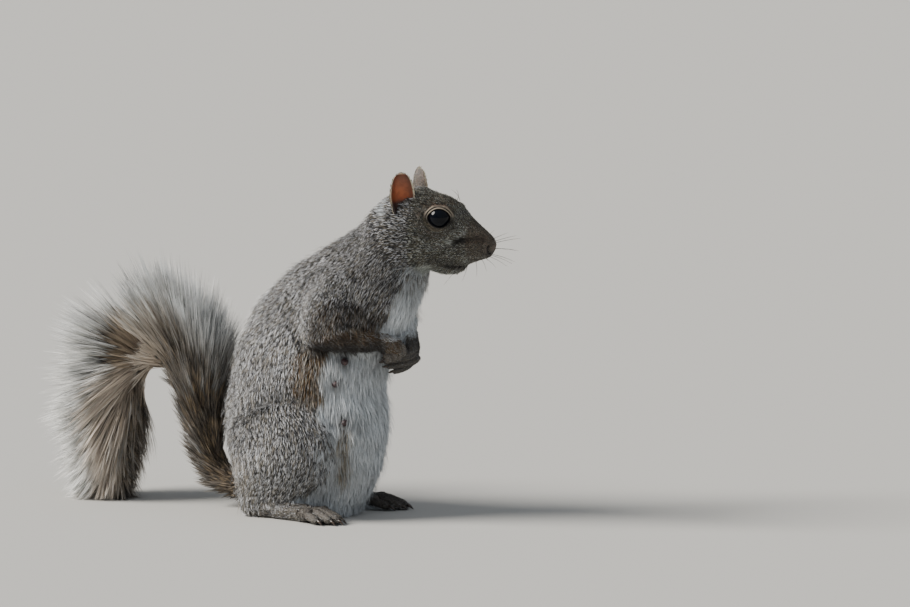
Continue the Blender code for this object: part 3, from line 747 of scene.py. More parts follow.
# ---- the eyes --------------------------------------------------------------------------------
# A squirrel's eye is large and so dark that iris and pupil read as one. The ball is wet and
# clear on top: what shows is the lamp in it and a brown ring at its edge.
def surface(name, grid, **fields):
    """A closed mesh through rings of points (rings, points, 3), in mm, or through several such
    grids: each cell is one face, and the last point of a ring meets the first. Points that
    coincide, as at a pole, are merged. Each further array is kept as an attribute."""
    rings, around = grid.shape[-3:-1]
    left = np.arange(grid.size // 3).reshape(-1, rings, around)
    right = np.roll(left, -1, axis=2)
    faces = np.stack([left[:, :-1], right[:, :-1], right[:, 1:], left[:, 1:]], axis=-1).reshape(-1, 4)
    mesh = bpy.data.meshes.new(name)
    mesh.from_pydata(grid.reshape(-1, 3) * MM, [], faces)
    for field, values in fields.items():
        keep(mesh, field, values)
    bm = bmesh.new()
    bm.from_mesh(mesh)
    bmesh.ops.remove_doubles(bm, verts=bm.verts, dist=0.0001 * MM)
    bmesh.ops.recalc_face_normals(bm, faces=bm.faces)
    bm.to_mesh(mesh)
    bm.free()
    mesh.shade_smooth()
    return mesh


def show(mesh, material):
    """Shows a mesh as a still piece with the mesh's name."""
    mesh.materials.append(material)
    made = link(mesh, mesh.name)
    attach(made, "root")
    return made


# a wet cornea over a dark iris: almost black, with a faint navy where it faces out that is a
# painted reflection of a pale sky, and brown at the rim; the one clear highlight is the lamp's own
wet_eye, tree, shader = new_material("wet_dark_eye", Roughness=0.13, IOR=1.27)
rim = add(tree, "Attribute", attribute_name="from_middle")
iris_and_painted_blue = add(tree, "ValToRGB", {"Fac": rim.outputs["Fac"]}, ((0.22, "#03060e"), (0.5, "#0d0908")))
tree.links.new(iris_and_painted_blue.outputs["Color"], shader.inputs["Base Color"])
polar = np.linspace(0, np.pi, 49)[:, None, None]
turn_round = np.linspace(0, 2 * np.pi, 64, endpoint=False)[None, :, None]
for side in SIDES:
    look = eye_look(side)
    beside = unit(np.cross(look, UP))
    ring = np.cos(turn_round) * beside + np.sin(turn_round) * np.cross(look, beside)
    ball = np.cos(polar) * look + np.sin(polar) * ring
    from_middle = np.broadcast_to(polar / np.pi, ball.shape[:2] + (1,))
    mesh = surface(f"eyeball_{side}", eyes[side] + EYE_RADIUS * ball, from_middle=from_middle)
    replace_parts(show(mesh, wet_eye), f"eye_{side}")


# ---- the coat --------------------------------------------------------------------------------
# Guard hairs over wool: each tuft is a lock of a few flat tapering hairs that leave the skin
# at a slant, bend over to the depth of the coat and lie along the body. Most hairs are dark
# at the root, grey in the middle, black near the end and white or black at the tip.
HAIR_BANDS = {
    "white_tipped": ((0.0, "#262423"), (0.42, "#696a6c"), (0.54, "#2c2b2a"), (0.65, "#33312f"),
                     (0.73, "#c2c4c7"), (0.93, "#edeff2"), (1.0, "#f2f4f7")),
    "black_tipped": ((0.0, "#262423"), (0.45, "#6b665e"), (0.66, "#9a9488"), (0.82, "#5a564f"),
                     (1.0, "#2c2a29")),
    "white": ((0.0, "#a5abae"), (0.4, "#c6ccd0"), (1.0, "#eaeef0")),
    "rusty": ((0.0, "#1f1a14"), (0.5, "#413220"), (0.7, "#79603c"), (0.9, "#6b5031"), (1.0, "#453522")),
    "buff": ((0.0, "#4f473c"), (0.5, "#8f8573"), (1.0, "#bab09d")),
}
FLOOR_GAP, EDGE_GAP = 0.15, 0.03  # mm that a hair's middle and its edges stay above the floor
PATCH = 0.003  # a tuft's patch, as a share of the unwrap's width
WEAR_SIZE = 19  # mm, the patches of older and newer hair
SEED_TURN = 2.4  # radians, the turn from one seed of a flower head to the next
COAT_STEPS, COAT_GATHER = (0.0, 0.5, 1.0), 0.78  # places along a hair, and how far its tip draws in


def hair_fields(tree):
    """The attributes that every hair carries: its place from root to tip, its chance and tint,
    and its markings with their painted shade as a colour with its alpha."""
    single = [add(tree, "Attribute", attribute_name=field).outputs["Fac"]
              for field in ("along", "chance", "tint")]
    read_marks_and_shade = add(tree, "Attribute", attribute_name="markings_and_shade")
    split = add(tree, "SeparateColor", {"Color": read_marks_and_shade.outputs["Color"]})
    return *single, {"pale": split.outputs["Red"], "rust": split.outputs["Green"],
                     "dark": split.outputs["Blue"], "buff": read_marks_and_shade.outputs["Alpha"]}


def fur(name, white_share, shade=1.0, cast="#ffffff"):
    """Dry hair, dull with a faint gloss along it. White share is how many ticked hairs end
    white; shade and cast darken and tint them all."""
    made, tree, shader = new_material(name, Roughness=0.62, Specular_IOR_Level=0.35, Sheen_Weight=0.08)
    along, chance, tint, read_marks_and_shade = hair_fields(tree)
    ramps = {kind: add(tree, "ValToRGB", {"Fac": along}, stops).outputs["Color"]
             for kind, stops in HAIR_BANDS.items()}
    black = add(tree, "Math", {0: chance, 1: white_share}, operation="GREATER_THAN").outputs[0]
    ticking = {0: black, 6: ramps["white_tipped"], 7: ramps["black_tipped"]}
    colour = add(tree, "Mix", ticking, data_type="RGBA").outputs[2]
    # each lock takes a marking or not, by its chance, so that borders are mixed hair by hair
    for kind, mark in (("rusty", "rust"), ("white", "pale"), ("buff", "buff")):
        taken = read_marks_and_shade[mark]
        for operation, value, clamp in (
                ("MULTIPLY", 1.5, False), ("SUBTRACT", chance, True), ("MULTIPLY", 2.5, True)):
            taken = add(tree, "Math", {0: taken, 1: value}, operation=operation, use_clamp=clamp).outputs[0]
        colour = add(tree, "Mix", {0: taken, 6: colour, 7: ramps[kind]}, data_type="RGBA").outputs[2]
    # the dark channel darkens the hair: dark markings together with the painted shade of folds, creases and
    # shaded sides
    darkened = {0: read_marks_and_shade["dark"], 6: colour, 7: from_hex("#191513")}
    colour = add(tree, "Mix", darkened, data_type="RGBA").outputs[2]
    # weather and wear: patches a couple of centimetres wide, a little lighter or darker
    place = add(tree, "TexCoord").outputs["Object"]
    patch = add(tree, "TexNoise", {"Vector": place, "Scale": 1.0 / (WEAR_SIZE * MM), "Detail": 3.0})
    spans = {"From Min": 0.35, "From Max": 0.65, "To Min": 0.78 * shade, "To Max": 1.12 * shade}
    wear = add(tree, "MapRange", {"Value": patch.outputs["Fac"], **spans})
    worn = add(tree, "Math", {0: wear.outputs[0], 1: tint}, operation="MULTIPLY").outputs[0]
    for shading in (worn, from_hex(cast)):
        colour = add(tree, "Mix", {0: 1.0, 6: colour, 7: shading}, data_type="RGBA",
                     blend_type="MULTIPLY").outputs[2]
    tree.links.new(colour, shader.inputs["Base Color"])
    return made


def blades(name, tuft, hair, spans, gather, sink, point=2.2):
    """A mesh of flat tapering hairs. Tuft holds arrays with a row for each tuft: its root and
    three directions, bend, marks with their painted shade, and unwrap. Hair holds arrays
    (tufts, hairs) of length, height, width, scatter, roll, chance and tint. Along a hair, t goes
    from 0 at the root to 1 at the tip: it moves along the run by length * t, stands off by
    height * (1 - (1 - t)^2) less bend * (length * t)^2 / 2, which keeps it over a rounded body,
    starts sunk in the skin, and draws in to the tuft's middle line by gather * t. Its width
    falls as 1 - t^point."""
    tufts, hairs = hair["length"].shape
    t = np.asarray(spans)[None, None, :, None]
    root, run, side, out = (tuft[key][:, None, None] for key in ("root", "run", "side", "out"))
    high, wide, roll = (hair[key][..., None, None] for key in ("height", "width", "roll"))
    aside, along = (hair["scatter"][..., k][..., None, None] * (1 - gather * t) for k in (0, 1))
    long = hair["length"][..., None, None] * t
    stand = high * (1 - (1 - t) ** 2) - tuft["bend"][:, None, None, None] * long**2 / 2 - sink * (1 - t)
    centre = root + side * aside + run * (along + long) + out * stand
    # hair that meets the floor turns aside and lies on it
    below = np.maximum(FLOOR_GAP - centre[..., 2:], 0)
    centre = centre + 0.6 * below * unit((run + out) * (1, 1, 0))
    centre[..., 2] = np.maximum(centre[..., 2], FLOOR_GAP)
    half = wide / 2 * (1 - t**point) * (side * np.cos(roll) + out * np.sin(roll))
    pairs = np.stack([centre - half, centre + half], axis=3)[:, :, :-1]
    points = np.concatenate([pairs.reshape(tufts, hairs, -1, 3), centre[:, :, -1:]], axis=2)
    points[..., 2] = np.maximum(points[..., 2], EDGE_GAP)

    steps = len(spans) - 1
    per = 2 * steps + 1
    first = (np.arange(tufts * hairs) * per)[:, None]
    quads = [first + np.array([2 * k, 2 * k + 1, 2 * k + 3, 2 * k + 2]) for k in range(steps - 1)]
    tips = first + np.array([2 * steps - 2, 2 * steps - 1, 2 * steps])
    corners = np.concatenate(quads + [tips], axis=1)
    sizes = np.tile([4] * (steps - 1) + [3], tufts * hairs)
    mesh = bpy.data.meshes.new(name)
    mesh.vertices.add(points.size // 3)
    mesh.loops.add(corners.size)
    mesh.loops.foreach_set("vertex_index", corners.astype(np.int32).ravel())
    mesh.polygons.add(len(sizes))
    mesh.polygons.foreach_set("loop_start", np.concatenate([[0], np.cumsum(sizes)[:-1]]).astype(np.int32))
    write(mesh, points)
    mesh.update(calc_edges=True)
    mesh.shade_smooth()
    place = np.broadcast_to(np.append(np.repeat(spans[:-1], 2), spans[-1]), (tufts, hairs, per))
    for field in ("chance", "tint"):
        keep(mesh, field, np.broadcast_to(hair[field][..., None], place.shape))
    keep(mesh, "along", place)
    keep(mesh, "markings_and_shade", np.broadcast_to(tuft["marks_and_shade"][:, None, None], (*place.shape, 4)), "FLOAT_COLOR")
    # each tuft is a small patch at its root's place on the unwrap: hairs side by side, root to tip
    across_patch = (np.arange(hairs)[:, None] + 0.25 + 0.5 * np.append(np.tile([0, 1], steps), 0.5)) / hairs
    patch = np.stack([np.broadcast_to(across_patch, place.shape), place], axis=-1) - 0.5
    spots = tuft["unwrap"][:, None, None] + PATCH * patch
    layer = mesh.uv_layers.new(name="OFBake")
    layer.uv.foreach_set("vector", spots.reshape(-1, 2)[corners.ravel()].astype(np.float32).ravel())
    return mesh


def comb(name, ground, chosen, material, hairs, seed, width=0.042, more=1.0, lift=1.0,
         mottle=0.26):
    """Plants tufts evenly on the faces of the chosen points of a ground, and lays them its way.
    Width is a share of the length, more and lift multiply the crowd and the depth, and mottle
    is how much the tufts differ in shade."""
    draw = np.random.default_rng(seed)
    faces = ground["faces"]
    faces = faces[chosen[faces[:, 0]]]
    a, b, c = (ground["points"][faces[:, k]] for k in range(3))
    area = np.linalg.norm(np.cross(b - a, c - a), axis=1) / 2
    total = np.cumsum(area * ground["crowd"][faces].min(axis=1) * more)
    count = int(total[-1])
    pick = np.searchsorted(total, (np.arange(count) + draw.random(count)) * total[-1] / count)
    faces = faces[np.minimum(pick, len(faces) - 1)]
    a, b = np.sqrt(draw.random(count)), draw.random(count)
    share = np.stack([1 - a, a * (1 - b), a * b], axis=1)

    def here(field):
        """The ground's field at each tuft's root, a weighted mean of its triangle's three points."""
        values = ground[field]
        return (values[faces] * (share[..., None] if values.ndim == 2 else share)).sum(axis=1)

    root, out, run = here("points"), unit(here("normals")), here("lie")
    run = unit(run - (run * out).sum(axis=1)[:, None] * out)
    side = np.cross(run, out)
    sway = 0.12 * ripple(root, 7, seed) + 0.12 * ripple(root, 19, seed + 1) + draw.normal(0, 0.07, count)
    cos, sin = np.cos(sway)[:, None], np.sin(sway)[:, None]
    run, side = run * cos + side * sin, side * cos - run * sin
    size = here("length") * (1 + 0.12 * ripple(root, 4, seed + 2))
    deep = lift * here("depth") * (1 + 0.16 * ripple(root, 3.5, seed + 3))
    # hairs stand round the tuft's middle as seeds do in a flower head
    apart = 0.38 / np.sqrt(np.maximum(here("crowd") * more, 0.1))
    turn_round = SEED_TURN * np.arange(hairs) + draw.uniform(0, 6.3, (count, 1))
    reach = np.sqrt((np.arange(hairs) + 0.5) / hairs) * apart[:, None]
    each = (count, hairs)
    tuft = {"root": root, "run": run, "side": side, "out": out, "bend": here("bend"),
            "marks_and_shade": here("marks_and_shade"), "unwrap": here("unwrap")}
    hair = {
        "scatter": np.stack([np.cos(turn_round) * reach, np.sin(turn_round) * reach], axis=-1),
        "length": size[:, None] * draw.uniform(0.78, 1.12, each),
        "height": deep[:, None] * draw.uniform(0.5, 1.1, (count, 1)) * draw.uniform(0.82, 1.05, each),
        "width": np.maximum(width * size, 0.11)[:, None] * draw.uniform(0.75, 1.25, each),
        "chance": draw.random(count)[:, None] * 0.86 + draw.random(each) * 0.14,
        "tint": draw.uniform(1 - mottle, 1 + mottle, (count, 1)) * draw.uniform(0.84, 1.14, each),
        "roll": draw.uniform(-0.55, 0.55, each),
    }
    sink = np.minimum(0.3, 0.2 * deep)[:, None, None, None]
    return show(blades(name, tuft, hair, COAT_STEPS, COAT_GATHER, sink), material)


def faces_of(mesh):
    """The three points of each triangle, as an array (triangles, 3)."""
    mesh.calc_loop_triangles()
    flat = np.empty(len(mesh.loop_triangles) * 3, np.int32)
    mesh.loop_triangles.foreach_get("vertices", flat)
    return flat.reshape(-1, 3)


# the unwrap: the angle round each part's own axis, and the place along it
x, y, z = points.T
girth_middle = np.interp(z, GIRTH[:, 0], GIRTH[:, 1])
unwrap = np.stack([np.arctan2(y, x - girth_middle) / (2 * np.pi) + 0.5, z / 190], axis=1)
head_wrap = np.stack([np.arctan2(own[:, 1], own[:, 2] - 6) / (2 * np.pi) + 0.5, (fore + 20) / 85], axis=1)
unwrap = np.where(head[:, None], head_wrap, unwrap)
WRAPPED_LIMBS = ("upper_arm", "forearm", "hand", "foot")
for name, _, start, end, _, _ in BONES:
    if name in WRAPPED_LIMBS:
        share, _ = along_bone(mirrored(points), start, end)
        axis = unit(np.array(end, float) - start)
        level = unit(np.cross(axis, UP))
        off = mirrored(points) - start
        round_limb = np.arctan2(off @ level, off @ np.cross(level, axis)) / (2 * np.pi) + 0.5
        column = 0.24 * round_limb + 0.25 * WRAPPED_LIMBS.index(name)
        limb_wrap = np.stack([column, 0.48 * share + 0.5 * (y > 0)], axis=1)
        unwrap = np.where(is_part(part, name)[:, None], limb_wrap, unwrap)
unwrap = np.clip(unwrap, 0.01, 0.99)

pelt = {"points": points, "normals": normals, "faces": faces_of(hide.data), "lie": lie_way, "bend": bend,
        "length": length, "depth": depth, "crowd": crowd, "marks_and_shade": marks_and_shade, "unwrap": unwrap}
# dry hair of one kind, banded and ticked: salt and pepper on the body, duller and browner on
# the face, short and dark on the paws, clean white below, and smooth brown on the muzzle
body_fur, head_fur = fur("ticked_body_fur", 0.68, 1.06), fur("ticked_face_fur", 0.55, 0.92, "#eeefe4")
paw_hair, crown_fur = fur("short_paw_fur", 0.4, 0.9), fur("ticked_crown_fur", 0.58, 0.88)
white_fur, muzzle_fur = fur("white_belly_fur", 0.6), fur("smooth_muzzle_fur", 0.4, 0.6, "#f2ebdc")
trunk, front = is_part(part, "trunk"), round_trunk(points) < 66
comb("coat_muzzle", pelt, head & (fore > 49), muzzle_fur, 6, 10, width=0.1, mottle=0.4)
comb("coat_face", pelt, head & (fore > 20) & (fore <= 49), head_fur, 5, 11, width=0.072,
     mottle=0.45)
comb("coat_crown", pelt, head & (fore <= 20), crown_fur, 7, 12, width=0.048)
comb("coat_neck", pelt, is_part(part, "neck"), body_fur, 3, 13)
comb("coat_belly", pelt, trunk & front, white_fur, 3, 14, width=0.05, more=0.93, mottle=0.14)
comb("coat_paws", pelt, is_part(part, "hand", "foot"), paw_hair, 4, 16, width=0.1)
for side, sign in SIDES.items():
    for name, chosen, seed in (("back", trunk & ~front, 18), ("haunch", is_part(part, "haunch"), 20),
                               ("arm", is_part(part, "upper_arm", "forearm"), 30)):
        comb(f"coat_{name}_{side}", pelt, chosen & (np.sign(y) == sign), body_fur, 3, seed + sign)

# pale hairs fringe the near hand's upper edge
hand_edge = is_part(part, "hand", "forearm") & (y < 0) & (normals[:, 2] > 0.55) & (x > 66)
edging = dict(pelt, length=2.6 + 0 * length, depth=1.1 + 0 * depth, crowd=0.9 + 0 * crowd,
              marks_and_shade=marks_and_shade * (0, 0, 0, 0) + (0.9, 0, 0, 0))
comb("coat_hand_edge", edging, hand_edge, white_fur, 4, 17, width=0.06)


# ---- toes, fingers, claws and teats -----------------------------------------------------------
# Slender furred fingers and toes, each with a black curved claw of horn. The right hand rests
# on the left one, whose dark fingers hook back under it. The teats are bare pink-brown skin.
FINGERS = {  # from the knuckle to the tip, mm in the frame
    "right": (((79, -9.5, 98.5), (82.6, -6.6, 97), (83.2, -5.2, 93.6), (81.2, -5.4, 91)),
              ((78.5, -11, 96.5), (82, -8.4, 94.6), (81.8, -7.2, 91.4), (79.4, -7.4, 89.8)),
              ((77.5, -12.5, 95), (80.4, -10.4, 92.8), (79.8, -9.2, 90.4), (77.4, -9.2, 89.4)),
              ((76, -14, 93.5), (78.4, -12.4, 91.6), (77.6, -11.4, 89.8), (75.6, -11, 89.2))),
    "left": (((84, 6, 97), (84.3, 3.5, 92.8), (78.5, -1, 90.8), (72, -4.5, 89.5)),
             ((85.5, 6.5, 94), (84, 3.8, 90.6), (77.5, -0.8, 88.4), (70.5, -4.5, 87)),
             ((86, 7, 91), (84.3, 4.6, 87.6), (78.5, 0.2, 85.6), (72, -3.5, 84.4)),
             ((82.5, 7.2, 88.5), (80.6, 5, 85), (77.6, 2.2, 82.8), (74.4, -1, 81.5))),
}
HEEL, FOOT_LENGTH, FOOT_TURN = (3.0, 25.0), 62.0, 12.0  # mm, and degrees outwards


def curve_through(spots, steps):
    """A Catmull-Rom curve through points, with equal steps between two points."""
    padded = np.vstack([2 * spots[0] - spots[1], spots, 2 * spots[-1] - spots[-2]])
    count = len(spots) - 1
    t = np.linspace(0, count, count * steps + 1)
    i = np.minimum(t.astype(int), count - 1)
    f = (t - i)[:, None]
    a, b, c, d = (padded[i + k] for k in range(4))
    bend = (2 * a - 5 * b + 4 * c - d) * f**2 + (3 * b - a - 3 * c + d) * f**3
    return 0.5 * (2 * b + (c - a) * f + bend)


def tubes(name, spots, radii, around=14, steps=7):
    """Rounded tubes through spots (tubes, spots, 3) with a radius at each spot, all in mm. Rings
    stand square to the smooth path, and both ends are rounded off to a point as a half ball is."""
    spots, radii = np.asarray(spots, float), np.asarray(radii, float)
    path = np.stack([curve_through(each, steps) for each in spots])
    thick = np.stack([curve_through(np.stack([each, each], axis=1), steps)[:, 0] for each in radii])
    run = unit(np.gradient(path, axis=1))
    pieces = np.linalg.norm(np.diff(path, axis=1), axis=2)
    long = np.concatenate([np.zeros((len(path), 1)), np.cumsum(pieces, axis=1)], axis=1)
    for gap in (long, long[:, -1:] - long):
        round_end = np.clip(1 - (1 - np.minimum(gap / thick, 1)) ** 2, 0, 1)
        thick = thick * np.maximum(np.sqrt(round_end), 0.001)
    beside = unit(np.cross(run, UP + 0.01))
    over = np.cross(beside, run)
    turn_round = np.linspace(0, 2 * np.pi, around, endpoint=False)[None, None, :, None]
    ring = np.cos(turn_round) * beside[:, :, None] + np.sin(turn_round) * over[:, :, None]
    grid = path[:, :, None] + thick[..., None, None] * ring
    grid[..., 2] = np.maximum(grid[..., 2], 0.12)
    return surface(name, grid), path, run


def toe_spots(sign):
    """Five toes fan out along the floor, the middle one longest."""
    turned = math.radians(FOOT_TURN)
    k = np.arange(-2, 3)
    tip = FOOT_LENGTH - 2.5 - 1.9 * k**2
    along_foot = np.stack([34 + 0 * k, 43 + 0 * k, tip - 9, tip], axis=1)
    across_foot = 2.9 * k[:, None] * (0.8, 1.05, 1.25, 1.5)
    high = np.broadcast_to((4.6, 5.6, 5.0, 2.3), across_foot.shape)
    x = HEEL[0] + along_foot * math.cos(turned) - across_foot * math.sin(turned)
    y = HEEL[1] + along_foot * math.sin(turned) + across_foot * math.cos(turned)
    return np.stack([x, y * sign, high], axis=-1)


def nearest(found, spots):
    """The index of the spot that is nearest to each found point."""
    return np.argmin(((found[:, None] - spots[None]) ** 2).sum(axis=2), axis=1)


def clad(mesh, marks_here, way, size, seed):
    """Shows a furred finger or toe in the hide's skin, with its own short coat laid its way."""
    found, out = read(mesh)
    zero = np.zeros(len(found))
    colours = np.array(marks_here, float) + zero[:, None]
    keep(mesh, "markings_and_shade", colours, "FLOAT_COLOR")
    show(mesh, hide_skin)
    low, high = found.min(axis=0), found.max(axis=0)
    ground = {"points": found, "normals": out, "faces": faces_of(mesh), "lie": way(found),
              "length": size + zero, "depth": 0.18 * size + zero, "crowd": 2.6 * (found[:, 2] > 0.6),
              "marks_and_shade": colours, "unwrap": 0.02 + 0.96 * ((found - low) / (high - low))[:, [0, 2]],
              "bend": 0.03 + zero}
    comb(f"coat_{mesh.name}", ground, np.ones(len(found), bool), paw_hair, 3, seed, width=0.12)


# horn: hard, smooth and slightly glossy, streaked from black to brown along its growth
horn, tree, shader = new_material("black_claw_horn", Roughness=0.3, Coat_Weight=0.2)
place = add(tree, "TexCoord").outputs["Object"]
streak = add(tree, "TexNoise", {"Vector": place, "Scale": 1.0 / (0.8 * MM), "Detail": 2.0})
horn_colour = add(tree, "ValToRGB", {"Fac": streak.outputs["Fac"]}, ((0.3, "#17120f"), (0.7, "#4a3c31")))
tree.links.new(horn_colour.outputs["Color"], shader.inputs["Base Color"])

# thin bare skin: dusky pink, mottled and finely wrinkled, with a little light in it
bare_skin, tree, shader = new_material("bare_teat_skin", Roughness=0.5, Subsurface_Weight=0.2,
                                       Subsurface_Scale=0.001)
place = add(tree, "TexCoord").outputs["Object"]
mottle = add(tree, "TexNoise", {"Vector": place, "Scale": 1.0 / (0.9 * MM), "Detail": 3.0}).outputs["Fac"]
skin_colour = add(tree, "ValToRGB", {"Fac": mottle}, ((0.3, "#2a2022"), (0.7, "#4f3c3e")))
tree.links.new(skin_colour.outputs["Color"], shader.inputs["Base Color"])
wrinkle = add(tree, "Bump", {"Height": mottle, "Strength": 0.5, "Distance": 0.2 * MM})
tree.links.new(wrinkle.outputs["Normal"], shader.inputs["Normal"])

# kind: radii from knuckle to tip, hair length, claw length and how far the claw hooks, mm
DIGITS = {"fingers": ((2.2, 2.0, 1.75, 1.35), 1.5, 3.0, 1.0), "toes": ((2.9, 2.8, 2.5, 1.9), 1.9, 4.4, 0.5)}
DIGIT_MARKS = {
    ("fingers", "right"): (0.12, 0.25, 0.15, 0.1), ("toes", "right"): (0.12, 0.25, 0.4, 0.1),
    ("fingers", "left"): (0.12, 0.0, 0.5, 0.1), ("toes", "left"): (0.12, 0.25, 0.4, 0.1),
}
claw_spots, claw_radii = [], []
for side, sign in SIDES.items():
    for kind, (radii, hair_length, claw_length, hook) in DIGITS.items():
        spots = np.array(FINGERS[side], float) if kind == "fingers" else toe_spots(sign)
        mesh, path, run = tubes(f"{kind}_{side}", spots, np.broadcast_to(radii, spots.shape[:2]))
        ways = run.reshape(-1, 3)
        clad(mesh, DIGIT_MARKS[kind, side], lambda found: ways[nearest(found, path.reshape(-1, 3))],
             hair_length, 50 + sign)
        tip, before, middle = path[:, -1], path[:, -5], path[:, -9]
        way = unit(tip - before)
        curl = np.broadcast_to(-UP, way.shape)
        if kind == "fingers":
            curl = unit(tip - middle - 2 * (before - middle))
        claw = [tip - 0.9 * way + 0.3 * UP, tip + 0.3 * claw_length * way + 0.35 * UP,
                tip + 0.65 * claw_length * way + 0.1 * claw_length * hook * curl,
                tip + 0.9 * claw_length * way + 0.35 * claw_length * hook * curl]
        claw_spots += list(np.stack(claw, axis=1))
        claw_radii += [(0.8, 0.72, 0.45, 0.1)] * len(tip)
show(tubes("claws", claw_spots, claw_radii, around=10, steps=5)[0], horn)

# each teat stands on the skin under its spot: share of the coat's depth and mm beyond it
TEAT_HEIGHTS = np.array([(0.2, 0), (0.8, 0), (0.95, 0.6), (1.0, 1.4)])
below = nearest(np.concatenate([NIPPLES * (1, sign, 1) for sign in SIDES.values()]), points)
rise = depth[below][:, None] * TEAT_HEIGHTS[:, 0] + TEAT_HEIGHTS[:, 1]
teat_spots = points[below][:, None] + normals[below][:, None] * rise[..., None]
teat_radii = np.broadcast_to((2.2, 2.0, 1.5, 1.0), teat_spots.shape[:2])
show(tubes("teats", teat_spots, teat_radii, around=16)[0], bare_skin)


# ---- the ears --------------------------------------------------------------------------------
# Each ear is a thin cupped petal of gristle and skin, bare and rusty inside, where a brighter
# orange in the middle is a painted glow of light shining through it, with short pale down on
# its back and a cream fringe along its rim.
EAR_FOOT, EAR_HEIGHT, EAR_WIDTH = (12.9, 14.5, 17.0), 22.0, 14.4
EAR_TURN, EAR_LEAN = 52, -4  # degrees: how far its hollow faces outwards, and its lean

# thin skin over gristle: rusty inside, its own colour with a painted orange glow of light through it,
# brightest in the middle, darker towards foot and rim, faintly veined and soft
ear_skin, tree, shader = new_material("thin_ear_skin", Roughness=0.55, Subsurface_Weight=0.15,
                                      Subsurface_Scale=0.002)
inside, tall, towards_edge, cream = (add(tree, "Attribute", attribute_name=field).outputs["Fac"]
                                     for field in ("inside", "tall", "edge", "rim"))
rusty = add(tree, "ValToRGB", {"Fac": tall}, (
    (0.0, "#150d0a"), (0.24, "#3a1d12"), (0.36, "#8d4722"), (0.55, "#94502e"), (0.85, "#7a4a35"),
    (1.0, "#5a3728")))
place = add(tree, "TexCoord").outputs["Object"]
vein_map = {"Vector": place, "Scale": 1.0 / (3.5 * MM), "Detail": 4.0, "Distortion": 1.2}
veins = add(tree, "TexNoise", vein_map).outputs["Fac"]
colour = rusty.outputs["Color"]
# veins vary the colour; away from the edge it is brightened as painted glow, towards the edge darkened
for value, limits in ((veins, (0.35, 0.65, 0.75, 1.12)), (towards_edge, (0.35, 0.9, 1.3, 0.5))):
    spans = dict(zip(("From Min", "From Max", "To Min", "To Max"), limits))
    shade = add(tree, "MapRange", {"Value": value, **spans}).outputs[0]
    shaded = {0: 1.0, 6: colour, 7: shade}
    colour = add(tree, "Mix", shaded, data_type="RGBA", blend_type="MULTIPLY").outputs[2]
colour = add(tree, "Mix", {0: inside, 6: from_hex("#86766f"), 7: colour}, data_type="RGBA").outputs[2]
colour = add(tree, "Mix", {0: cream, 6: colour, 7: from_hex("#cfc7ae")}, data_type="RGBA").outputs[2]
tree.links.new(colour, shader.inputs["Base Color"])
down = add(tree, "Bump", {"Height": veins, "Strength": 0.3, "Distance": 0.3 * MM})
tree.links.new(down.outputs["Normal"], shader.inputs["Normal"])


def ear_shape(side):
    """Rings up the ear: half width W (1 - u^5.5)^0.5, a cup that bows back by up to 3.6 mm in
    the middle and least at foot and tip, and a wall that thins from 1.6 to 0.5 mm. The front
    edge is rolled inwards towards its foot. The first half of a ring is the back."""
    u = np.sin(np.linspace(0, np.pi / 2, 44))[:, None]
    half = EAR_WIDTH / 2 * np.sqrt(np.clip(1 - u**5.5, 0.0004, 1))
    half = half * (1 - 0.27 * np.maximum(u - 0.44, 0)) * (0.8 + 0.2 * smoothstep(0, 0.42, u))
    cup = 3.6 * np.sin(np.pi * np.clip(u * 0.98 + 0.02, 0, 1)) ** 0.6
    wall = 1.6 - 1.1 * u
    v = np.sin(np.linspace(-np.pi / 2, np.pi / 2, 25))
    bow = np.sqrt(np.clip(1 - v**2, 0, 1))
    behind, before = -cup * (1 - v**2) - wall / 2 * bow, -cup * (1 - v**2) + wall / 2 * bow
    v = v + 0 * u
    roll = 1.4 * bell(v * side + 0.82, 0.16) * (1 - u) ** 0.8

    def there_and_back(first, second):
        """A closed ring: the back's row one way, then the hollow's row the other way."""
        return np.hstack([first, second[:, -2:0:-1]])

    v_round = there_and_back(v, v)
    across_ear = v_round * half
    deep = there_and_back(behind + roll, before + roll) - 1.6 * u**2
    high = EAR_HEIGHT * u + 0 * deep
    turned, lean = math.radians(-90 + side * EAR_TURN), math.radians(EAR_LEAN * side)
    a = across_ear * math.cos(turned) - deep * math.sin(turned)
    b = across_ear * math.sin(turned) + deep * math.cos(turned)
    b, high = b * math.cos(lean) - high * math.sin(lean), b * math.sin(lean) + high * math.cos(lean)
    grid = on_head(np.stack([a + EAR_FOOT[0], b + EAR_FOOT[1] * side, high + EAR_FOOT[2]], axis=-1))
    grid[-1] = grid[-1].mean(axis=0)
    return grid, there_and_back(0 * v, np.ones_like(v)), np.abs(v_round), u + 0 * across_ear


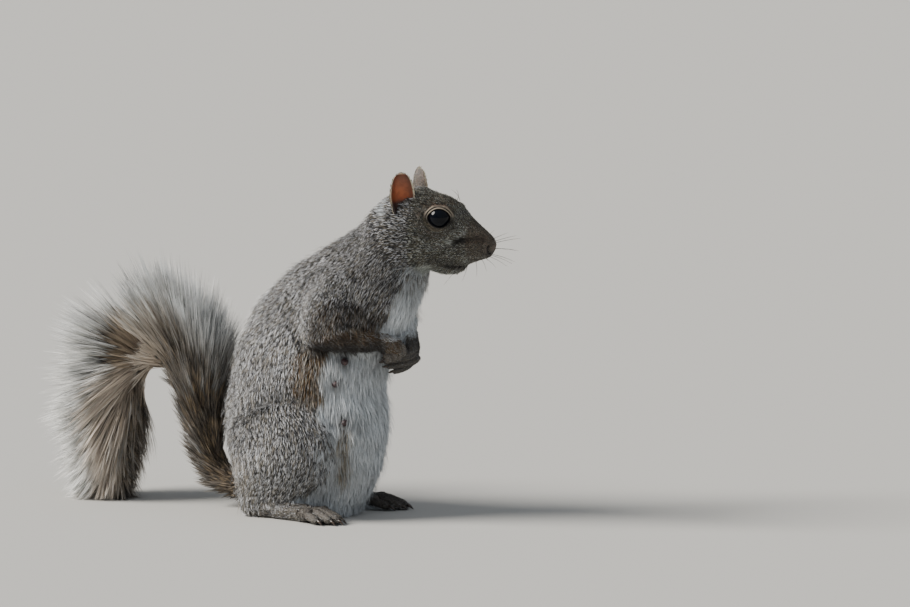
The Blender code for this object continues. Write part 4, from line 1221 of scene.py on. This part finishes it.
# down: the shortest hair, fine and pale, a soft bloom on the ear's back and a cream rim
down_fur = fur("pale_ear_down", 0.6, 1.1)
for side, sign in SIDES.items():
    grid, inside, edge, tall = ear_shape(sign)
    sides = smoothstep(0.89, 0.95, edge) * smoothstep(0.15, 0.4, tall)
    rim = np.maximum(sides, smoothstep(0.95, 0.98, tall))
    mesh = surface(f"ear_skin_{side}", grid, inside=inside, tall=tall, edge=edge, rim=rim)
    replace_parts(show(mesh, ear_skin), f"ear_{side}")
    # the points at the tip are merged by now, so the down reads the fields back from the mesh
    inside, tall, edge = np.empty((3, len(mesh.vertices)), np.float32)
    for field, values in (("inside", inside), ("tall", tall), ("edge", edge)):
        mesh.attributes[field].data.foreach_get("value", values)
    inside, tall, edge = inside.astype(float), tall.astype(float), edge.astype(float)
    found, out = read(mesh)
    rim = np.maximum(smoothstep(0.9, 1.0, edge), smoothstep(0.955, 1.0, tall))
    outer, zero = 1 - inside, np.zeros(len(found))
    marks_here = np.stack([0.12 + 0.6 * rim, zero, 0.25 * (1 - rim), 0.35 + 0.5 * rim], axis=1)
    ground = {
        "points": found, "normals": out, "faces": faces_of(mesh),
        "lie": unit(UP + 0.35 * unit(found - found.mean(axis=0)) * rim[:, None] - 0.25 * ahead),
        "length": 1.1 + 0.2 * rim + 0.9 * outer * (1 - tall), "depth": 0.3 + 0.15 * rim,
        "crowd": 3.6 * np.maximum(outer * 0.8, 0.75 * rim),
        "marks_and_shade": np.clip(marks_here, 0, 1), "bend": zero,
        "unwrap": np.stack([0.5 + 0.22 * (edge - 0.5) + 0.25 * (outer - 0.5), 0.1 + 0.8 * tall], axis=1),
    }
    everywhere = np.ones(len(found), bool)
    comb(f"coat_ear_{side}", ground, everywhere, down_fur, 4, 40 + sign, width=0.13)


# ---- the tail --------------------------------------------------------------------------------
# A thin fleshy dock curves up behind the back, over, and down to the floor. Hairs up to six
# centimetres long stand off it on all sides, longest above: brown and buff below, then black,
# with white tips that make the pale fringe. A short dense wool hides the dock under them.
CORE = np.array([
    (-6, 17), (-22, 12), (-37, 20), (-45, 37), (-49, 54), (-54, 66), (-62, 76), (-74, 81), (-86, 77),
    (-94, 68), (-99, 51), (-102, 33), (-104, 15), (-105, 5),
])
DOCK_RADIUS = 4.6
LONGEST_HAIR = 62.0
BEND_AT = 112  # mm along the dock, the top of its arch
TAIL_PIECES, TAIL_LOCKS, LOCK_HAIRS, TAIL_SEED = 3, 3300, 8, 60
TAIL_STEPS = (0.0, 0.4, 0.8, 1.0)  # places along a hair
# how far a lock's tips draw in, mm that its roots are sunk, and how late its hairs taper
TAIL_GATHER, TAIL_SINK, TAIL_POINT = 0.95, 0.5, 3.4
# how steeply hair leaves the dock above, beside and below it: mm along the dock, and degrees
SLANT_ABOVE = np.array([(20, 20), (50, 24), (72, 33), (98, 46), (118, 58), (140, 66), (175, 56), (225, 42)])
SLANT_BESIDE = np.array([(20, 14), (90, 15), (120, 26), (150, 24), (225, 18)])
SLANT_BELOW = np.array([(20, 34), (75, 32), (110, 22), (150, 38), (225, 26)])
TAIL_BANDS = {
    "fringe": ((0.0, "#3b3029"), (0.2, "#7b6b58"), (0.42, "#a18e73"), (0.5, "#2b2521"), (0.64, "#1c1815"),
               (0.7, "#cdd0cf"), (1.0, "#f8f9f9")),
    "silver": ((0.0, "#5c5147"), (0.3, "#93836f"), (0.48, "#a0917c"), (0.57, "#4a423b"), (0.64, "#bfbfba"),
               (1.0, "#f6f7f6")),
    "fawn": ((0.0, "#93867a"), (0.35, "#bfb1a1"), (0.62, "#d2c5b5"), (0.76, "#c0b3a4"), (0.9, "#cfc4b5"),
             (1.0, "#ddd5ca")),
    "dusky": ((0.0, "#26201b"), (0.25, "#584b3c"), (0.42, "#2d2722"), (0.56, "#8c7a61"), (0.7, "#1f1b18"),
              (0.88, "#4e463d"), (1.0, "#958c7f")),
    "black": ((0.0, "#2b241e"), (0.4, "#4d4134"), (0.6, "#1d1917"), (1.0, "#171412")),
}

path = curve_through(CORE, 12)
core_path = np.stack([path[:, 0], np.zeros(len(path)), path[:, 1]], axis=1)
core_run = unit(np.gradient(core_path, axis=0))
core_out = np.stack([core_run[:, 2], 0 * core_run[:, 0], -core_run[:, 0]], axis=1)
core_long = np.concatenate([[0], np.cumsum(np.linalg.norm(np.diff(core_path, axis=0), axis=1))])
dock_end = core_long[-1]
rounded_tip = np.sqrt(np.clip((dock_end - core_long + 0.3) / 4, 0, 1))
thin = DOCK_RADIUS * (1 - 0.4 * core_long / dock_end) * rounded_tip
thin[0] = 0.01
turn_round = np.linspace(0, 2 * np.pi, 20, endpoint=False)[None, :, None]
ring = np.cos(turn_round) * (0, 1, 0) + np.sin(turn_round) * core_out[:, None]
dock_grid = core_path[:, None] + thin[:, None, None] * ring
dock_grid[..., 2] = np.maximum(dock_grid[..., 2], 0.4)
dock = surface("tail_dock", dock_grid)
keep(dock, "markings_and_shade", np.tile((0, 0.2, 0.35, 0), (len(dock.vertices), 1)), "FLOAT_COLOR")
show(dock, hide_skin)

# long coarse hair, with more gloss than the body's: each lock runs from buff through black to
# white, or stays fawn or dusky, and the bands of neighbours sit a little higher or lower
tail_hair, tree, shader = new_material("banded_tail_hair", Roughness=0.55, Specular_IOR_Level=0.4,
                                       Sheen_Weight=0.08)
along, chance, tint, read_marks_and_shade = hair_fields(tree)
shift = add(tree, "MapRange", {"Value": chance, "To Min": -0.09, "To Max": 0.09})
spot = add(tree, "Math", {0: along, 1: shift.outputs[0]}, operation="ADD", use_clamp=True).outputs[0]
ramps = {kind: add(tree, "ValToRGB", {"Fac": spot}, stops).outputs["Color"]
         for kind, stops in TAIL_BANDS.items()}
black = add(tree, "Math", {0: chance, 1: 0.9}, operation="GREATER_THAN").outputs[0]
tipped = add(tree, "Mix", {0: read_marks_and_shade["rust"], 6: ramps["fringe"], 7: ramps["silver"]}, data_type="RGBA")
colour = ramps["fawn"]
for share, other in ((read_marks_and_shade["dark"], ramps["dusky"]), (read_marks_and_shade["pale"], tipped.outputs[2]),
                     (black, ramps["black"])):
    colour = add(tree, "Mix", {0: share, 6: colour, 7: other}, data_type="RGBA").outputs[2]
colour = add(tree, "Mix", {0: 1.0, 6: colour, 7: tint}, data_type="RGBA", blend_type="MULTIPLY").outputs[2]
tree.links.new(colour, shader.inputs["Base Color"])

form = one_form(TAIL_NODES, "brush_outline", 0.4, 2.0, 3)
outline = BVHTree.FromObject(form, bpy.context.evaluated_depsgraph_get())


def to_outline(root, way):
    """How far in mm each root is from the brush's outline along its way, or 0 outside it."""
    return np.array([(outline.ray_cast(Vector(r * MM), Vector(w))[3] or 0) / MM for r, w in zip(root, way)])


def tail_brush(piece):
    """Locks rooted all round the dock. Each leaves it towards the tail's end at a slant, steepest
    above, and is as long as the brush's outline allows."""
    draw = np.random.default_rng(TAIL_SEED + piece)
    count = TAIL_LOCKS
    # more locks where the outline is wide: the outer side of the bend
    where = (np.arange(count) + draw.random(count)) / count
    crowding = np.cumsum((1 + 1.3 * bell(core_long - BEND_AT, 20)) * (core_long > core_long[9]))
    start = np.interp((piece + where) / TAIL_PIECES, crowding / crowding[-1], core_long)
    crest = draw.random(count) < 0.7
    angle = np.where(crest, draw.normal(np.pi / 2, 1.1, count), draw.uniform(0, 2 * np.pi, count))
    centre, run, out = (np.stack([np.interp(start, core_long, c) for c in v.T], axis=1)
                        for v in (core_path, core_run, core_out))
    ray = np.cos(angle)[:, None] * (0, 1, 0) + np.sin(angle)[:, None] * out
    upper, lower = smoothstep(-0.3, 0.9, np.sin(angle)), smoothstep(0.3, 0.95, -np.sin(angle))
    steep = np.interp(start, *SLANT_ABOVE.T) * upper
    steep = steep + np.interp(start, *SLANT_BESIDE.T) * (1 - upper - lower)
    steep = steep + np.interp(start, *SLANT_BELOW.T) * lower
    wave = ripple(np.stack([start, 30 * angle, 0 * start], axis=1), 16, TAIL_SEED)
    slant = np.radians(steep + 9 * wave + draw.normal(0, 3.5, count))
    way = unit(np.cos(slant)[:, None] * run + np.sin(slant)[:, None] * ray)
    root = centre + ray * DOCK_RADIUS * 0.75
    under = between(78, 130, 14, start) * smoothstep(0.1, 0.8, -np.sin(angle))
    high = smoothstep(0.1, 0.8, np.sin(angle)) * smoothstep(50, 78, start)
    beyond = 1 + 0.5 * under + 0.14 * high + 0.18 * high * smoothstep(100, 128, start)
    allowed = to_outline(root, way) * beyond + 5 * lower * smoothstep(40, 60, start)
    size = np.minimum(allowed * draw.uniform(0.7, 1.12, count), 12 + 0.6 * start)
    size = np.minimum(size, LONGEST_HAIR * draw.uniform(0.8, 1.06, count))
    kept = size > 4
    root, way, ray, size, angle, start, allowed, lower = (
        v[kept] for v in (root, way, ray, size, angle, start, allowed, lower))
    count = len(size)
    each = (count, LOCK_HAIRS)
    side = unit(np.cross(way, ray))
    scatter = draw.normal(0, 1.5, (*each, 2))
    lengths = size[:, None] * draw.uniform(0.72, 1.0, each)
    hair = {
        "scatter": scatter, "length": lengths, "height": lengths * draw.uniform(-0.02, 0.07, each),
        "width": 0.48 * draw.uniform(0.7, 1.3, each),
        "chance": draw.random(count)[:, None] * 0.7 + draw.random(each) * 0.3,
    }
    lock_tint = draw.uniform(-1, 1, (count, 1))
    # only hairs that reach the brush's outline, on its outer side, end white
    edge = np.interp(start, (60, 92, 118), (0.8, 0.66, 0.2))
    fringe = smoothstep(edge - 0.25, edge + 0.25, np.sin(angle)) * smoothstep(14, 28, size)
    fringe = fringe * smoothstep(54, 80, start) + draw.normal(0, 0.15, count)
    fringe = np.clip(fringe * smoothstep(0.5, 0.72, size / allowed), 0, 1)
    hair["tint"] = (1 + lock_tint * (0.16 + 0.26 * fringe[:, None])) * draw.uniform(0.87, 1.12, each)
    silver = np.clip(smoothstep(86, 116, start) * 0.85 + draw.normal(0, 0.15, count), 0, 1)
    dusky = 1 - 0.95 * smoothstep(70, 104, start) + 0.75 * lower * smoothstep(110, 130, start)
    dusky = np.clip(dusky + draw.normal(0, 0.15, count), 0, 1)
    hair["roll"] = draw.uniform(-0.8, 0.8, each)
    tuft = {
        "root": root, "run": way, "side": side, "out": np.cross(side, way), "bend": np.full(count, 0.0015),
        "marks_and_shade": np.stack([fringe, silver, dusky, 0 * fringe], axis=1),
        "unwrap": np.stack([np.mod(angle / (2 * np.pi), 1), start / dock_end], axis=1) * 0.98 + 0.01,
    }
    return blades(f"coat_tail_{piece + 1}", tuft, hair, TAIL_STEPS, TAIL_GATHER, TAIL_SINK, TAIL_POINT)


for piece in range(TAIL_PIECES):
    show(tail_brush(piece), tail_hair)
bpy.data.objects.remove(form)

dock_points, dock_normals = read(dock)
nearest_core = nearest(dock_points, core_path)
dock_long, zero = core_long[nearest_core], np.zeros(len(dock_points))
ground = {
    "points": dock_points, "normals": dock_normals, "faces": faces_of(dock), "lie": core_run[nearest_core],
    "length": 10 + 4 * smoothstep(20, 90, dock_long), "depth": 3 + 2 * smoothstep(20, 90, dock_long),
    "marks_and_shade": np.stack([zero, zero, 1 - 0.6 * smoothstep(110, 140, dock_long), zero], axis=1),
    "crowd": 0.42 + zero, "bend": 0.004 + zero,
    "unwrap": np.stack([0.27 + dock_points[:, 1] / 24, 0.01 + 0.98 * dock_long / dock_end], axis=1),
}
comb("coat_tail_wool", ground, np.ones(len(zero), bool), tail_hair, 5, 66, width=0.045)


# ---- whiskers and guard hairs ----------------------------------------------------------------
# Stiff black whiskers stand in rows on the pad of the lip, with two over each eye. Long single
# guard hairs stand clear of the coat on back, haunch and arm, and white wisps on the belly.
WHISKER_ROWS = ((-1.0, 5), (-3.2, 5), (-5.6, 4))  # height from the head's joint and how many

# keratin: a smooth black bristle with a thin line of light along it
keratin, tree, shader = new_material("stiff_black_whisker", Roughness=0.35)
shader.inputs["Base Color"].default_value = from_hex("#1a1613")
# root, way, length and hang of each whisker of the left side
bristles = [
    ((55.0 - 2.4 * k - 0.8 * row, 5.6 + 0.75 * k, height - 0.25 * k),
     (0.62 - 0.2 * k + 0.05 * row, 0.9, 0.18 - 0.2 * row), 27 + 4.5 * k - 2 * row, (-0.12, 0, -0.1))
    for row, (height, count) in enumerate(WHISKER_ROWS) for k in range(count)]
bristles += [((35.0 + 2 * k, 10.5, 21.5), (0.1 - 0.4 * k, 0.75, 0.5), 11, (-0.45, 0, 0)) for k in range(2)]
root, way, long, hang = (np.array(each, float)[:, None] for each in zip(*bristles))
t = np.array((0, 0.33, 0.67, 1))[:, None]
left_spots = root + unit(way) * long[..., None] * t + hang * long[..., None] * t * t
whisker_spots = np.concatenate([left_spots * (1, sign, 1) for sign in SIDES.values()])
whisker_radii = np.broadcast_to((0.15, 0.12, 0.09, 0.03), whisker_spots.shape[:2])
whiskers = tubes("whiskers", on_head(whisker_spots), whisker_radii, around=6, steps=5)[0]
show(whiskers, keratin)

wispy = dict(pelt, length=length * 1.45, crowd=np.where(bare | head, 0, 0.16))
soft_parts = is_part(part, "trunk", "neck", "haunch", "upper_arm")
comb("coat_guard", wispy, soft_parts & ~(trunk & front), body_fur, 3, 70, width=0.022, lift=1.5)
comb("coat_wisps", wispy, trunk & front, white_fur, 3, 71, width=0.022, more=1.3, lift=1.7)
